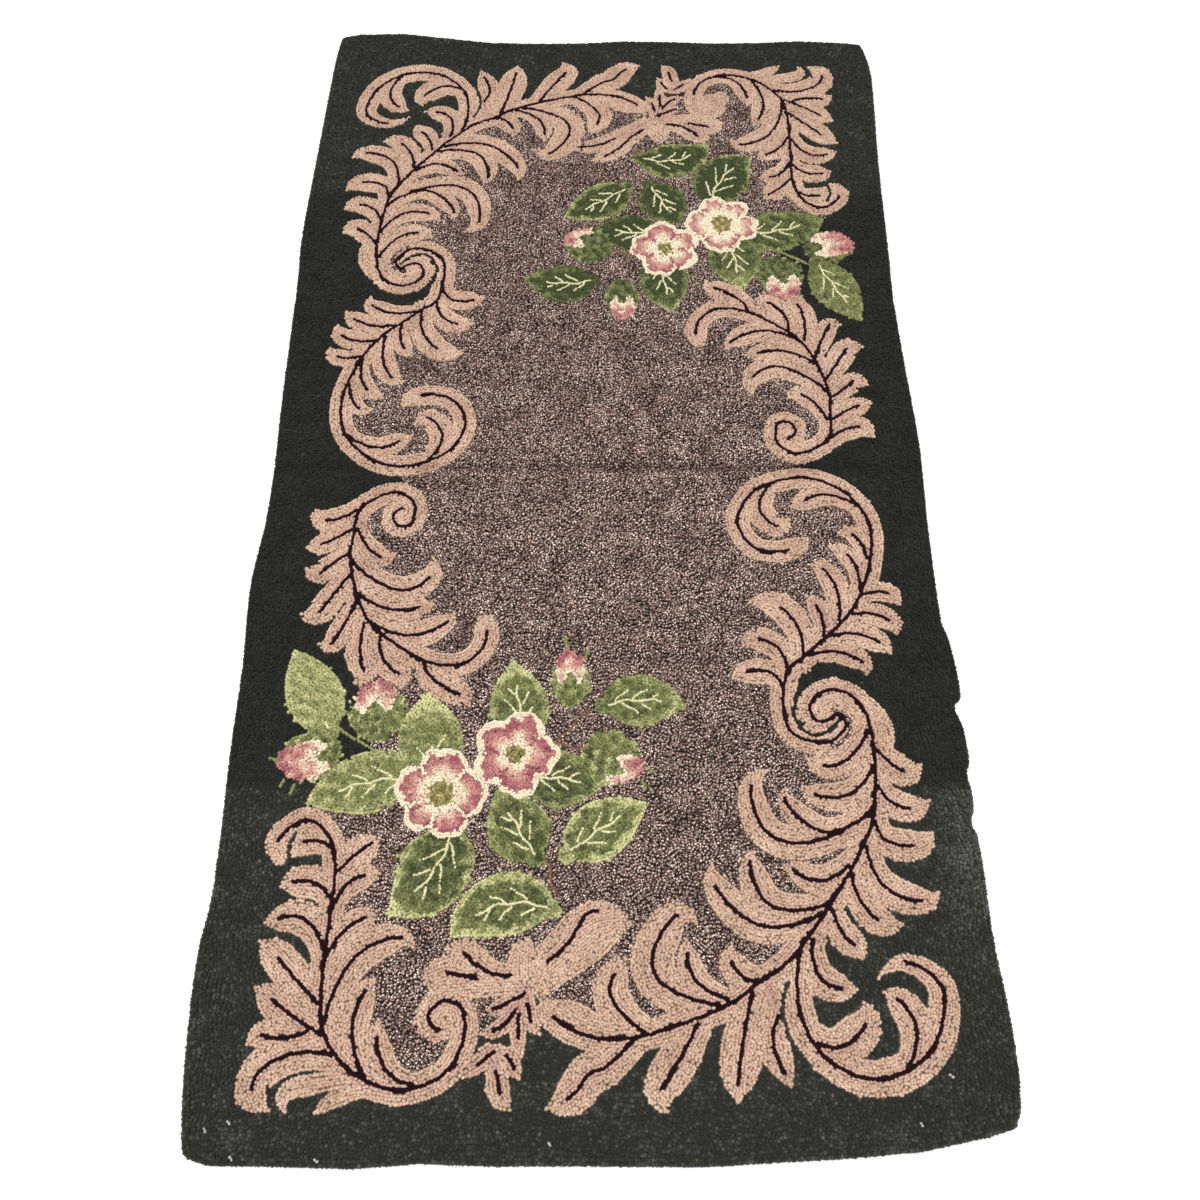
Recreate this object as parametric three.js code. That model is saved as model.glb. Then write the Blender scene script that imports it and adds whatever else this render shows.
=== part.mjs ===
// A hand-hooked wool rug, lying flat: one thick cloth of wool loops on burlap, its edge turned under.
// Millimetres, +Z up. X runs across the rug and Y along it, from the near end to the far end.
// The origin is at the middle of the bounding box, on the floor.

import * as THREE from "three";

// Driving dimensions
const WIDTH = 820; // nominal, between the two long sides
const LENGTH = 1540; // nominal, between the two ends
const THICKNESS = 8.5; // from the floor to the tops of the loops
const SHOULDER = 6; // how far in from the edge the rounded shoulder of the pile reaches
const EDGE_HEIGHT = 0.42; // share of the thickness at which the rug is widest
const UNDERCUT = 1.6; // how far in from the edge the underside leaves the floor

// The slow swell of the pile, where the backing has stretched unevenly
const SWELL = 0.45;
const SWELL_ACROSS = 310; // length of one wave across the rug
const SWELL_ALONG = 430; // length of one wave along the rug

// Fold lines from long storage: shallow troughs right across the pile
const CREASES = [
  { at: -5, depth: 1.5, spread: 9 },
  { at: -264, depth: 0.8, spread: 8 },
  { at: 262, depth: 0.7, spread: 8 },
];

// Spacing of the mesh lines
const EDGE_LINES = [0, UNDERCUT, 3.6, SHOULDER]; // distances in from each edge
const STEP_ACROSS = 68;
const STEP_ALONG = 30;
const STEP_WORN = 8; // along the stretch of the right side that has nicks
const WORN_STRETCH = { from: -478, to: -214 };

// Where the rounding of each corner turns most
const CORNERS = {
  nearLeft: { x: -400, y: -770 },
  nearRight: { x: 406.5, y: -747.5 },
  farRight: { x: 406, y: 757 },
  farLeft: { x: -400, y: 772 },
};

// The four edges: each row is a place along the side, and how far the edge stands out there
// from the nominal rectangle. Negative values stand in.
const NEAR_END = [
  { at: -388, out: 8 },
  { at: -325, out: 10 },
  { at: -262, out: 12 },
  { at: -212, out: 12 },
  { at: -197, out: 8.5 },
  { at: -95, out: 10.5 },
  { at: 0, out: 10 },
  { at: 104, out: 11 },
  { at: 118, out: 9 },
  { at: 200, out: 6 },
  { at: 304, out: -1 },
  { at: 354, out: -9 },
  { at: 392, out: -18 },
];
const FAR_END = [
  { at: -388, out: 7 },
  { at: -350, out: 13 },
  { at: -304, out: 12 },
  { at: -252, out: 5 },
  { at: -192, out: -6 },
  { at: -118, out: -9.5 },
  { at: -36, out: -10 },
  { at: 30, out: -5 },
  { at: 105, out: -6 },
  { at: 210, out: -10 },
  { at: 305, out: -4.5 },
  { at: 392, out: -10 },
];
const LEFT_SIDE = [
  { at: -745, out: -5 },
  { at: -700, out: 0 },
  { at: -588, out: 4 },
  { at: -540, out: -1.5 },
  { at: -500, out: -2.5 },
  { at: -366, out: 1 },
  { at: -269, out: 1.5 },
  { at: -165, out: 6 },
  { at: -82, out: -1 },
  { at: 5, out: -1.5 },
  { at: 90, out: 1 },
  { at: 306, out: 4 },
  { at: 356, out: 7 },
  { at: 560, out: 1 },
  { at: 740, out: -6 },
];
const RIGHT_SIDE = [
  { at: -730, out: 4 },
  { at: -700, out: 7 },
  { at: -640, out: 6 },
  { at: -574, out: 1 },
  { at: -475, out: 1 },
  { at: -461, out: -1.5 },
  { at: -450, out: -5.5 },
  { at: -440, out: -1 },
  { at: -420, out: 1 },
  { at: -394, out: -1.5 },
  { at: -388, out: 2 },
  { at: -341, out: 1 },
  { at: -328, out: -3.5 },
  { at: -318, out: -5 },
  { at: -311, out: 2.5 },
  { at: -232, out: -1 },
  { at: -220, out: -5 },
  { at: -135, out: -6 },
  { at: -82, out: -5.5 },
  { at: 28, out: -1.5 },
  { at: 155, out: -5.5 },
  { at: 273, out: -8 },
  { at: 327, out: -6 },
  { at: 508, out: -1.5 },
  { at: 662, out: 6 },
  { at: 700, out: 6.5 },
  { at: 740, out: 1.5 },
];

const wool = new THREE.MeshStandardMaterial({
  color: 0x5b4f49,
  roughness: 0.95,
  metalness: 0,
});

// A smooth edge through a side's rows, from one corner to the next.
function edgeCurve(start, rows, placeOf, end) {
  const points = [start, ...rows.map(placeOf), end];
  return new THREE.CatmullRomCurve3(
    points.map(({ x, y }) => new THREE.Vector3(x, y, 0)),
    false,
    "centripetal",
  );
}

const near = edgeCurve(
  CORNERS.nearLeft,
  NEAR_END,
  ({ at, out }) => ({ x: at, y: -LENGTH / 2 - out }),
  CORNERS.nearRight,
);
const far = edgeCurve(
  CORNERS.farLeft,
  FAR_END,
  ({ at, out }) => ({ x: at, y: LENGTH / 2 + out }),
  CORNERS.farRight,
);
const left = edgeCurve(
  CORNERS.nearLeft,
  LEFT_SIDE,
  ({ at, out }) => ({ x: -WIDTH / 2 - out, y: at }),
  CORNERS.farLeft,
);
const right = edgeCurve(
  CORNERS.nearRight,
  RIGHT_SIDE,
  ({ at, out }) => ({ x: WIDTH / 2 + out, y: at }),
  CORNERS.farRight,
);

// Places from low to high about one step apart, both ends included.
function evenly(low, high, step) {
  const count = Math.max(1, Math.round((high - low) / step));
  return Array.from({ length: count + 1 }, (_, i) => low + ((high - low) * i) / count);
}

// Mesh lines as shares of a span: close together at both edges, and at the extra places.
function meshLines(span, step, extra = []) {
  const low = EDGE_LINES;
  const high = EDGE_LINES.map((d) => span - d);
  const inner = evenly(SHOULDER + step / 3, span - SHOULDER - step / 3, step);
  const clear = inner.filter((p) => extra.every((q) => Math.abs(p - q) > STEP_WORN / 2));
  return [...low, ...clear, ...extra, ...high].sort((a, b) => a - b).map((p) => p / span);
}

const fromNearEnd = (y) => y + LENGTH / 2;
const creaseLines = CREASES.flatMap(({ at, spread }) =>
  [-2, -1, 0, 1, 2].map((k) => fromNearEnd(at + k * spread)),
);
const wornLines = evenly(
  fromNearEnd(WORN_STRETCH.from),
  fromNearEnd(WORN_STRETCH.to),
  STEP_WORN,
).filter((p) => creaseLines.every((q) => Math.abs(p - q) > STEP_WORN / 2));
const across = meshLines(WIDTH, STEP_ACROSS);
const along = meshLines(LENGTH, STEP_ALONG, [...creaseLines, ...wornLines]);

// A point inside the four edges, blended from the points opposite it on each of them.
function placeInside(u, v) {
  const { nearLeft, nearRight, farRight, farLeft } = CORNERS;
  const [n, f, l, r] = [near.getPointAt(u), far.getPointAt(u), left.getPointAt(v), right.getPointAt(v)];
  const blend = (k) =>
    (1 - v) * n[k] +
    v * f[k] +
    (1 - u) * l[k] +
    u * r[k] -
    (1 - u) * (1 - v) * nearLeft[k] -
    u * (1 - v) * nearRight[k] -
    u * v * farRight[k] -
    (1 - u) * v * farLeft[k];
  return { x: blend("x"), y: blend("y") };
}

// Height of the pile over the floor: the shoulder at the edge, the swell and the creases.
function pileHeight(x, y, inFromEdge) {
  const rise = Math.min(inFromEdge / SHOULDER, 1);
  const shoulder = EDGE_HEIGHT + (1 - EDGE_HEIGHT) * Math.sqrt(1 - (1 - rise) ** 2);
  const swell =
    SWELL *
    Math.sin((2 * Math.PI * x) / SWELL_ACROSS + y / SWELL_ALONG) *
    Math.cos((2 * Math.PI * y) / SWELL_ALONG);
  const trough = CREASES.reduce(
    (sum, { at, depth, spread }) => sum + depth * Math.exp(-(((y - at) / spread) ** 2)),
    0,
  );
  return THICKNESS * shoulder + rise * (swell - trough);
}

// The whole rug as one closed surface: a top and an underside that share the widest line.
function rugGeometry() {
  const columns = across.length;
  const rows = along.length;
  const top = [];
  const positions = [];
  for (let j = 0; j < rows; j++) {
    for (let i = 0; i < columns; i++) {
      const { x, y } = placeInside(across[i], along[j]);
      const fromSides = Math.min(across[i], 1 - across[i]) * WIDTH;
      const fromEnds = Math.min(along[j], 1 - along[j]) * LENGTH;
      top.push(positions.length / 3);
      positions.push(x, y, pileHeight(x, y, Math.min(fromSides, fromEnds)));
    }
  }
  const onRim = (i, j) => i === 0 || j === 0 || i === columns - 1 || j === rows - 1;
  const under = [];
  for (let j = 0; j < rows; j++) {
    for (let i = 0; i < columns; i++) {
      const above = top[j * columns + i];
      if (onRim(i, j)) {
        under.push(above);
        continue;
      }
      under.push(positions.length / 3);
      positions.push(positions[3 * above], positions[3 * above + 1], 0);
    }
  }
  const faces = [];
  for (let j = 0; j < rows - 1; j++) {
    for (let i = 0; i < columns - 1; i++) {
      const corner = j * columns + i;
      const [a, b, c, d] = [corner, corner + 1, corner + columns + 1, corner + columns];
      faces.push(top[a], top[b], top[c], top[a], top[c], top[d]);
      faces.push(under[a], under[c], under[b], under[a], under[d], under[c]);
    }
  }
  const geometry = new THREE.BufferGeometry();
  geometry.setAttribute("position", new THREE.Float32BufferAttribute(positions, 3));
  geometry.setIndex(faces);
  return geometry;
}

const geometry = rugGeometry();
geometry.computeBoundingBox();
const middle = geometry.boundingBox.getCenter(new THREE.Vector3());
geometry.translate(-middle.x, -middle.y, 0);
geometry.computeVertexNormals();

const rug = new THREE.Mesh(geometry, wool);
rug.name = "rug";

const part = new THREE.Group();
part.add(rug);

export default part;
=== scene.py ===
"""A hand-hooked wool rug lying flat: a burlap foundation and its pile of wool loops.

Metres, +Z up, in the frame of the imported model. Inside the classes of the pile, places on the rug
are in millimetres. The design was planned as one half and its half-turn, about a middle that lies
a little nearer than the middle of the rug, so its tables hold the near half alone.
"""

import logging
import math
from dataclasses import dataclass, field
from enum import Enum, IntEnum
from typing import NamedTuple

import bpy
import numpy as np
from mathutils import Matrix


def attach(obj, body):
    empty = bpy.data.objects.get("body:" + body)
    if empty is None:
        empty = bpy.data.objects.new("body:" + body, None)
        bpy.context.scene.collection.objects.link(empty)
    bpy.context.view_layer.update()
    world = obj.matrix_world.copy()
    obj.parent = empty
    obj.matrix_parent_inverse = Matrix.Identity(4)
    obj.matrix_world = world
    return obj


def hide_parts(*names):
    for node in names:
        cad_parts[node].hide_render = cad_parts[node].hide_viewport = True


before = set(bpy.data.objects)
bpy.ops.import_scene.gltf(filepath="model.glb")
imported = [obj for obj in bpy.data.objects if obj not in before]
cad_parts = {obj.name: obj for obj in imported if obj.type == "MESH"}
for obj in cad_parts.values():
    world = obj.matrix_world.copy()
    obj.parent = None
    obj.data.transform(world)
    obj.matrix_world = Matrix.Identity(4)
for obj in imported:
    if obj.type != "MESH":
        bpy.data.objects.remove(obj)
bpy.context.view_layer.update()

MM = 0.001
Array = np.ndarray
Place = tuple[float, float]
log = logging.getLogger("hooked_rug")

DESIGN_MIDDLE = -12.5  # how far the design's middle lies from the rug's, along Y
FAR_AWAY = 1e9  # farther than anything on the rug


# Yarns and what is hooked with them


class Part(IntEnum):
    """What a spot of the rug is hooked as."""

    OFF = 0
    BORDER = 1
    GROUND = 2
    SCROLL = 3
    VEIN = 4
    LEAF = 5
    LEAF_VEIN = 6
    PETAL = 7
    EYE = 8
    STALK = 9
    LINT = 10


class Ramp(NamedTuple):
    """A yarn dyed unevenly: its colours from its darkest ply to its lightest, as sRGB hex."""

    dark: str
    middle: str
    light: str


RAMPS = {
    Part.BORDER: Ramp("#151611", "#2c2d26", "#616259"),
    Part.GROUND: Ramp("#2e1a15", "#7b6259", "#efd8cb"),
    Part.SCROLL: Ramp("#9d7e6b", "#c8a78f", "#e2cab4"),
    Part.VEIN: Ramp("#0c0002", "#1b0106", "#2e0911"),
    Part.LEAF: Ramp("#37411f", "#828652", "#cdca93"),
    Part.LEAF_VEIN: Ramp("#a9a06c", "#d6d0a4", "#eeead0"),
    Part.PETAL: Ramp("#97505a", "#c69286", "#e6dcbf"),
    Part.EYE: Ramp("#6b6434", "#92864f", "#cdc28a"),
    Part.STALK: Ramp("#4a2e22", "#7b5a43", "#a38266"),
    Part.LINT: Ramp("#8b887c", "#b9b6a9", "#dddacd"),
}


def linear_colour(code: str) -> tuple[float, float, float]:
    """Turns an sRGB hex colour to linear.

    Args:
        code: the colour, as "#rrggbb".

    Returns:
        Red, green and blue, from 0 to 1.
    """
    shares = [int(code[i : i + 2], 16) / 255 for i in (1, 3, 5)]
    return tuple(s / 12.92 if s <= 0.04045 else ((s + 0.055) / 1.055) ** 2.4 for s in shares)


def ramp_colour(ramp: Ramp, tone: Array) -> Array:
    """Linear colours at tones along a ramp, straight between its dark, middle and light.

    Args:
        ramp: the yarn's colours.
        tone: 0 for dark, 0.5 for middle, 1 for light.

    Returns:
        One linear colour for each tone.
    """
    stops = np.array([linear_colour(code) for code in ramp])
    return np.stack([np.interp(tone, (0, 0.5, 1), stops[:, k]) for k in range(3)], axis=-1)


def cloud(x: Array, y: Array, size: float, seed: int) -> Array:
    """Soft unevenness: the sum of a dozen waves in seeded directions, of about one size.

    Args:
        x: places across, in millimetres.
        y: places along.
        size: about how far apart its light spots are.
        seed: picks the waves.

    Returns:
        Values about 0, mostly from -1 to 1.
    """
    pick = np.random.default_rng(seed)
    total = np.zeros(np.shape(x))
    for turn, phase, scale in pick.random((12, 3)):
        pace = 2 * math.pi / (size * (0.7 + 0.8 * scale))
        heading = 2 * math.pi * turn
        total += np.sin(pace * (x * math.cos(heading) + y * math.sin(heading)) + 2 * math.pi * phase)
    return total / math.sqrt(12) * 0.9


def run_of(path: Array) -> Array:
    """How far along a path each of its corners lies: the running sum of its sides.

    Args:
        path: the corners in order.

    Returns:
        The distances, from 0.
    """
    return np.concatenate([[0], np.cumsum(np.hypot(*np.diff(path, axis=0).T))])


def places_at(along: Array, run: Array, path: Array) -> Array:
    """Places at distances along a path, straight between its corners.

    Args:
        along: the distances.
        run: how far along each corner lies.
        path: the corners in order.

    Returns:
        The places, one a row.
    """
    return np.stack([np.interp(along, run, path[:, k]) for k in range(2)], axis=1)


# Tables of the design, in millimetres about its middle: the near half


class Frond(NamedTuple):
    """A curling lobe: its vein's path from the root, the tip past it, and half its width."""

    path: tuple[Place, ...]
    tip: Place
    half: float
    veined: bool = True
    vein_from: float = 0.0


class Leaf(NamedTuple):
    """A rose leaf: base, tip, half its width, tones of its core, rim and end, bend and vein."""

    base: Place
    tip: Place
    half: float
    core: float
    rim: float
    end: float
    bend: float = 0.0
    vein: float = 0.72


class Bud(NamedTuple):
    """A bud in its calyx: the base of the green, the tip, half the width, the petals' share."""

    base: Place
    tip: Place
    half: float
    petals: float
    lean: float


class Rose(NamedTuple):
    """An open rose: middle, radius, eye, headings between petals in degrees, and its pale ring."""

    middle: Place
    radius: float
    eye: float
    notches: tuple[float, ...]
    seam_tone: float
    ring: float


class Drift(NamedTuple):
    """How far the far half strays from the near one's turn: a place, and how far off it lies."""

    x: float
    y: float
    dx: float
    dy: float


SPINE_A = Frond(
    (
        (268, -317), (252, -325), (242, -318), (241, -305), (252, -292), (270, -287), (290, -295),
        (302, -312), (308, -350), (305, -400), (295, -445), (200, -578), (160, -605), (135, -622),
        (30, -655), (-15, -651), (-46, -634),
    ),
    (-56, -616),
    14,
)
SPINE_B = Frond(
    (
        (267, -317), (277, -320), (279, -330), (258, -349), (222, -341), (212, -325), (218, -265),
        (245, -241), (303, -183), (331, -110), (330, -65), (310, -32), (270, -9), (230, -10),
        (190, -30), (171, -70), (190, -105), (231, -108),
    ),
    (254, -92),
    15,
)
SPINE_C = Frond(
    (
        (-243, -51), (-252, -60), (-249, -72), (-240, -76), (-230, -72), (-228, -44), (-250, -29),
        (-275, -36), (-295, -55), (-299, -91), (-300, -121), (-276, -193), (-250, -221), (-190, -255),
        (-155, -254), (-134, -234), (-131, -215),
    ),
    (-140, -197),
    15,
)
SPINE_D = Frond(
    (
        (-160, -646), (-172, -635), (-158, -620), (-140, -625), (-134, -650), (-150, -685),
        (-190, -701), (-232, -692), (-275, -650), (-281, -480), (-290, -455), (-310, -437),
        (-325, -438), (-345, -459),
    ),
    (-331, -480),
    14,
)
SPINE_KNOTS = 12  # a path with more knots than this is a spine's

FRONDS_A = (
    Frond(((303, -335), (275, -370), (251, -376)), (232, -367), 14),
    Frond(((305, -375), (275, -408), (238, -408)), (224, -398), 14),
    Frond(((300, -420), (245, -449), (204, -412)), (208, -402), 14),
    Frond(((297, -428), (215, -461), (180, -447), (169, -397)), (188, -381), 16),
    Frond(((285, -462), (240, -500), (206, -487)), (198, -483), 14),
    Frond(((243, -522), (180, -525), (163, -480)), (168, -470), 16),
    Frond(((240, -530), (170, -546), (124, -505)), (122, -482), 16),
    Frond(((190, -586), (155, -600), (137, -580)), (138, -567), 14),
    Frond(((135, -618), (100, -600), (92, -573)), (92, -560), 12),
    Frond(((138, -622), (64, -602), (56, -577), (84, -535)), (103, -543), 19),
    Frond(((52, -650), (13, -615), (17, -594)), (28, -578), 16),
    Frond(((308, -352), (322, -370), (338, -382)), (358, -375), 15),
    Frond(((307, -385), (316, -412), (340, -423)), (361, -415), 14),
    Frond(((303, -425), (307, -455), (340, -463)), (362, -450), 15),
    Frond(((290, -455), (302, -505), (343, -521)), (360, -512), 15),
    Frond(((270, -490), (275, -518), (293, -541)), (318, -545), 13.5),
    Frond(((246, -530), (256, -556), (266, -566)), (275, -578), 13),
    Frond(((224, -560), (227, -597), (250, -608)), (264, -609), 14),
    Frond(
        (
            (210, -570), (204, -625), (220, -665), (260, -690), (305, -685), (340, -655), (350, -605),
            (316, -583),
        ),
        (287, -598),
        15,
    ),
    Frond(((208, -650), (240, -663), (270, -640)), (270, -622), 17),
    Frond(((305, -683), (320, -645), (304, -618)), (291, -612), 15),
    Frond(((158, -610), (147, -650), (138, -697)), (137, -712), 18),
    Frond(((170, -600), (182, -628), (175, -655), (185, -686)), (190, -698), 14, True, 0.4),
    Frond(((103, -636), (85, -668), (62, -702)), (68, -721), 17),
    Frond(((38, -655), (21, -670), (7, -681), (-10, -688), (-18, -699), (-30, -710)), (-50, -718), 17),
    Frond(((298, -300), (317, -325), (318, -350)), (316, -372), 12, False),
    Frond(((20, -655), (-20, -642)), (-52, -622), 16, False),
)
FRONDS_B = (
    Frond(((220, -13), (199, -50), (219, -76)), (235, -65), 14.5),
    Frond(((320, -48), (280, -31), (254, -41)), (238, -50), 13.5),
    Frond(((325, -135), (320, -100), (309, -86)), (293, -85), 10),
    Frond(((311, -165), (310, -130), (301, -115)), (280, -103), 11),
    Frond(((283, -203), (284, -160), (270, -134)), (255, -128), 13.5),
    Frond(((263, -225), (264, -200), (257, -180)), (247, -170), 11),
    Frond(((235, -253), (236, -215), (214, -183)), (180, -178), 15.5),
    Frond(((218, -265), (210, -237), (188, -225)), (168, -233), 13.5),
    Frond(((212, -290), (200, -267), (169, -266)), (155, -273), 13.5),
    Frond(((312, -170), (330, -164), (346, -166)), (357, -180), 11),
    Frond(((293, -196), (320, -192), (343, -201)), (350, -218), 12.5),
    Frond(((268, -222), (300, -218), (328, -229)), (340, -242), 13.5),
    Frond(((245, -245), (280, -241), (307, -254)), (309, -268), 12.5),
)
FRONDS_C = (
    Frond(((-294, -80), (-279, -106), (-263, -118)), (-246, -113), 12.5),
    Frond(((-299, -118), (-235, -162), (-202, -144)), (-201, -118), 15.5),
    Frond(((-286, -165), (-249, -186), (-210, -183)), (-195, -180), 14.5),
    Frond(((-271, -199), (-222, -220), (-176, -201)), (-170, -190), 14.5),
    Frond(((-203, -252), (-192, -272), (-157, -293)), (-147, -306), 14.5),
    Frond(((-290, -44), (-312, -62), (-335, -68)), (-350, -52), 14.5),
    Frond(((-297, -76), (-318, -91), (-338, -101)), (-354, -105), 12.5),
    Frond(((-302, -112), (-322, -128), (-334, -139)), (-351, -133), 12.5),
    Frond(((-298, -140), (-319, -174), (-331, -192)), (-351, -193), 14.5),
    Frond(((-287, -178), (-298, -205), (-311, -230)), (-326, -231), 12.5),
    Frond(((-275, -205), (-277, -238), (-270, -265)), (-278, -280), 15.5),
    Frond(((-255, -222), (-250, -248), (-229, -268)), (-226, -285), 14.5),
)
FRONDS_D = (
    Frond(((-285, -468), (-300, -459), (-318, -460)), (-328, -477), 13),
    Frond(((-282, -520), (-300, -503), (-324, -502)), (-336, -506), 14.5),
    Frond(((-283, -577), (-297, -548), (-315, -537), (-335, -540)), (-348, -544), 14.5),
    Frond(((-280, -625), (-308, -600), (-331, -577)), (-351, -562), 15.5),
    Frond(((-275, -652), (-310, -633), (-332, -617)), (-349, -607), 15.5),
    Frond(((-290, -645), (-301, -652), (-337, -652)), (-351, -660), 13),
    Frond(((-258, -673), (-300, -668), (-333, -683), (-341, -702)), (-322, -719), 16.5),
    Frond(((-250, -692), (-285, -697), (-302, -701), (-309, -709)), (-306, -721), 8.5, False),
    Frond(((-222, -701), (-248, -706), (-262, -712)), (-276, -722), 7, False),
    Frond(((-280, -495), (-262, -475), (-244, -461)), (-237, -455), 14.5),
    Frond(((-279, -530), (-265, -503), (-248, -495)), (-232, -493), 13),
    Frond(((-280, -578), (-265, -552), (-243, -538)), (-232, -531), 13),
    Frond(((-275, -648), (-250, -577), (-203, -558)), (-192, -568), 16.5),
    Frond(((-230, -690), (-247, -645), (-236, -608)), (-228, -598), 14.5),
    Frond(((-175, -697), (-207, -687), (-222, -653)), (-221, -638), 12),
)
RIBBON = (
    Frond(((-90, -595), (-112, -592), (-139, -573)), (-158, -570), 13),
    Frond(((-125, -598), (-140, -595), (-157, -592)), (-178, -603), 13),
    Frond(((-70, -602), (-120, -604)), (-172, -607), 11, False),
    Frond(((-77, -574), (-76, -590)), (-77, -610), 17, False),
    Frond(((-75, -613), (-93, -622), (-106, -628)), (-113, -629), 7),
    Frond(((-80, -606), (-86, -632), (-105, -648)), (-118, -651), 7.5, True, 0.45),
    Frond(((-79, -606), (-80, -635), (-80, -655)), (-77, -672), 7.5, True, 0.55),
    Frond(((-73, -606), (-71, -625), (-67, -640)), (-59, -651), 7.5, True, 0.5),
    Frond(((-130, -684), (-117, -677), (-104, -667)), (-97, -663), 8, True, 0.4),
    Frond(((-112, -667), (-92, -671), (-83, -683)), (-78, -692), 8, True, 0.6),
    Frond(((-112, -670), (-101, -686), (-97, -705)), (-87, -719), 10, True, 0.5),
)
RIBBON_VEIN = Frond(((-52, -582), (-30, -562), (-12, -535), (0, -531)), (0, -531), 0)
# What the halves don't share: the near ribbon's plump arm, the far one's two slim ones, and a
# plug in the far half's volute, which is hooked solid with no curl of vein inside
NEAR_ONLY = (Frond(((-60, -594), (-30, -570), (0, -547)), (34, -545), 24, False), RIBBON_VEIN)
FAR_ONLY = (
    Frond(((-60, -590), (-35, -569), (-17, -547), (4, -531)), (22, -523), 12, True, 0.1),
    Frond(((-58, -600), (-14, -569), (9, -555), (42, -549)), (54, -556), 12.5, True, 0.5),
    Frond(((-178, -652), (-163, -640)), (-150, -636), 15, False),
)

# Single rows of border or ground yarn that part two arms of a scroll
BORDER_LINES = (
    ((240, -270), (222, -312), (227, -330), (240, -340), (255, -338), (273, -322)),
    ((-327, -450), (-332, -464), (-330, -480)),
    ((194, -603), (187, -630), (197, -665)),
)
GROUND_LINES = (
    ((265, -312), (278, -315), (285, -325), (280, -342), (262, -352)),
    ((40, -535), (36, -552), (38, -568)),
    ((-214, -262), (-214, -290)),
)

LEAVES = (
    Leaf((-301, -337), (-352, -241), 31, 0.66, 0.72, 0.06, 0.0, 0.14),
    Leaf((-183, -385), (-196, -294), 36, 0.46, 0.58, 0.5, 0.0, 0.36),
    Leaf((-200, -389), (-317, -417), 34, 0.46, 0.72, 0.04, -0.06),
    Leaf((-83, -350), (-98, -255), 33, 0.28, 0.6, 0.3),
    Leaf((6, -306), (97, -307), 30, 0.28, 0.54, 0.14, 0.08),
    Leaf((-85, -385), (5, -396), 32, 0.12, 0.46, 0.14),
    Leaf((-66, -477), (-111, -407), 33, 0.2, 0.56, 0.06),
    Leaf((-33, -473), (50, -419), 31, 0.32, 0.86, 0.06, 0.03),
    Leaf((-48, -530), (-152, -556), 32, 0.24, 0.8, 0.12, -0.17),
    Leaf((-156, -444), (-218, -533), 39, 0.14, 0.66, 0.34, 0.1),
)
BUDS = (
    Bud((-248, -348), (-253, -274), 33, 0.45, 0.1),
    Bud((-286, -356), (-358, -374), 30, 0.7, 0.15),
    Bud((-31, -308), (-34, -237), 23, 0.5, 0.0),
    Bud((-16, -352), (49, -383), 31, 0.36, -0.3),
)
ROSES = (
    Rose((-173, -407), 51, 15, (130, 203, 256, 320, 45), 1.0, 0.42),
    Rose((-93, -362), 49, 11, (178, 245, 318, 32, 112), 0.12, 0.33),
)
STEMS = (
    ((-298, -325), (-285, -338), (-260, -352), (-245, -362)),
    ((-300, -325), (-312, -310), (-322, -298)),
)
WISPS = (
    ((-365, -367), (-356, -370)),
    ((-350, -398), (-346, -390)),
    ((-338, -406), (-335, -396)),
    ((62, -383), (52, -378)),
    ((52, -401), (48, -392)),
    ((-38, -222), (-37, -236)),
    ((-12, -238), (-16, -250)),
)
STALKS = (
    ((-48, -350), (-38, -340), (-25, -325), (-10, -308)),
    ((-48, -350), (-28, -354), (-5, -352)),
    ((-55, -480), (-50, -498), (-45, -515)),
)
FAR_DRIFTS = (
    Drift(300, -450, 0, -30),
    Drift(260, -690, -6, -23),
    Drift(60, -700, -15, -8),
    Drift(0, -600, -16, -4),
    Drift(130, -710, -14, -10),
    Drift(270, -320, 3, -7),
    Drift(350, -180, 0, -15),
)
DRIFT_REACH = 85  # how far off a drift still tells
DRIFT_EASE = 0.25  # lets the drifts fade to none far from all of them
# A leaf's side veins: the share of its length where each starts, its side, its share of the width
SIDE_VEINS = ((0.14, 1, 0.55), (0.22, -1, 0.62), (0.36, 1, 0.6), (0.44, -1, 0.5), (0.58, 1, 0.36))
# Fluff caught in the border
LINT = ((-380, -738), (-358, -731), (-46, -750), (-352, -762), (-270, -764), (350, -690), (315, -733))
# Where the border meets the ground between the scrolls
BY_THE_BUDS = ((-278, -280), (-262, -300), (-255, -345), (-250, -380), (-300, -418), (-305, -430))
BY_THE_KNOT = ((-125, -650), (-105, -655), (-90, -645), (-55, -645))
BY_THE_VOLUTE = ((-277, -238),)
BY_THE_MIDDLE = ((250, -2),)


class Crease(NamedTuple):
    """A trough right across the pile: where it lies along the rug, its depth and its spread."""

    at: float
    depth: float
    spread: float


class Shade(NamedTuple):
    """Painted shade along a fold of the pile, a darker stripe: where it lies, its spread and how strong it
    is.
    """

    at: float
    spread: float
    strength: float


class Worn(NamedTuple):
    """A worn spot: its middle, and how far the wear reaches across and along."""

    x: float
    y: float
    across: float
    along: float


class Dye(NamedTuple):
    """A yarn's tone: its middle, its cloudiness with the clouds' size and seed, and its jitter."""

    middle: float
    cloudy: float
    size: float
    seed: int
    jitter: float


CREASES = (Crease(-5, 1.5, 9), Crease(-264, 0.8, 8), Crease(262, 0.7, 8))
SHADES = (Shade(-5, 7, 1.0), Shade(-264, 6, 0.5))
BY_THE_NICKS = Worn(395, -485, 28, 85)
DYES = {
    Part.BORDER: Dye(0.18, 0.05, 45, 12, 0.09),
    Part.GROUND: Dye(0.56, 0.05, 70, 13, 0.06),
    Part.SCROLL: Dye(0.49, 0.09, 60, 11, 0.11),
}
DUSTY_ENDS = (20, 425, 12)  # the dust's middle, how far from it the ends turn dusty, and over what


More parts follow.
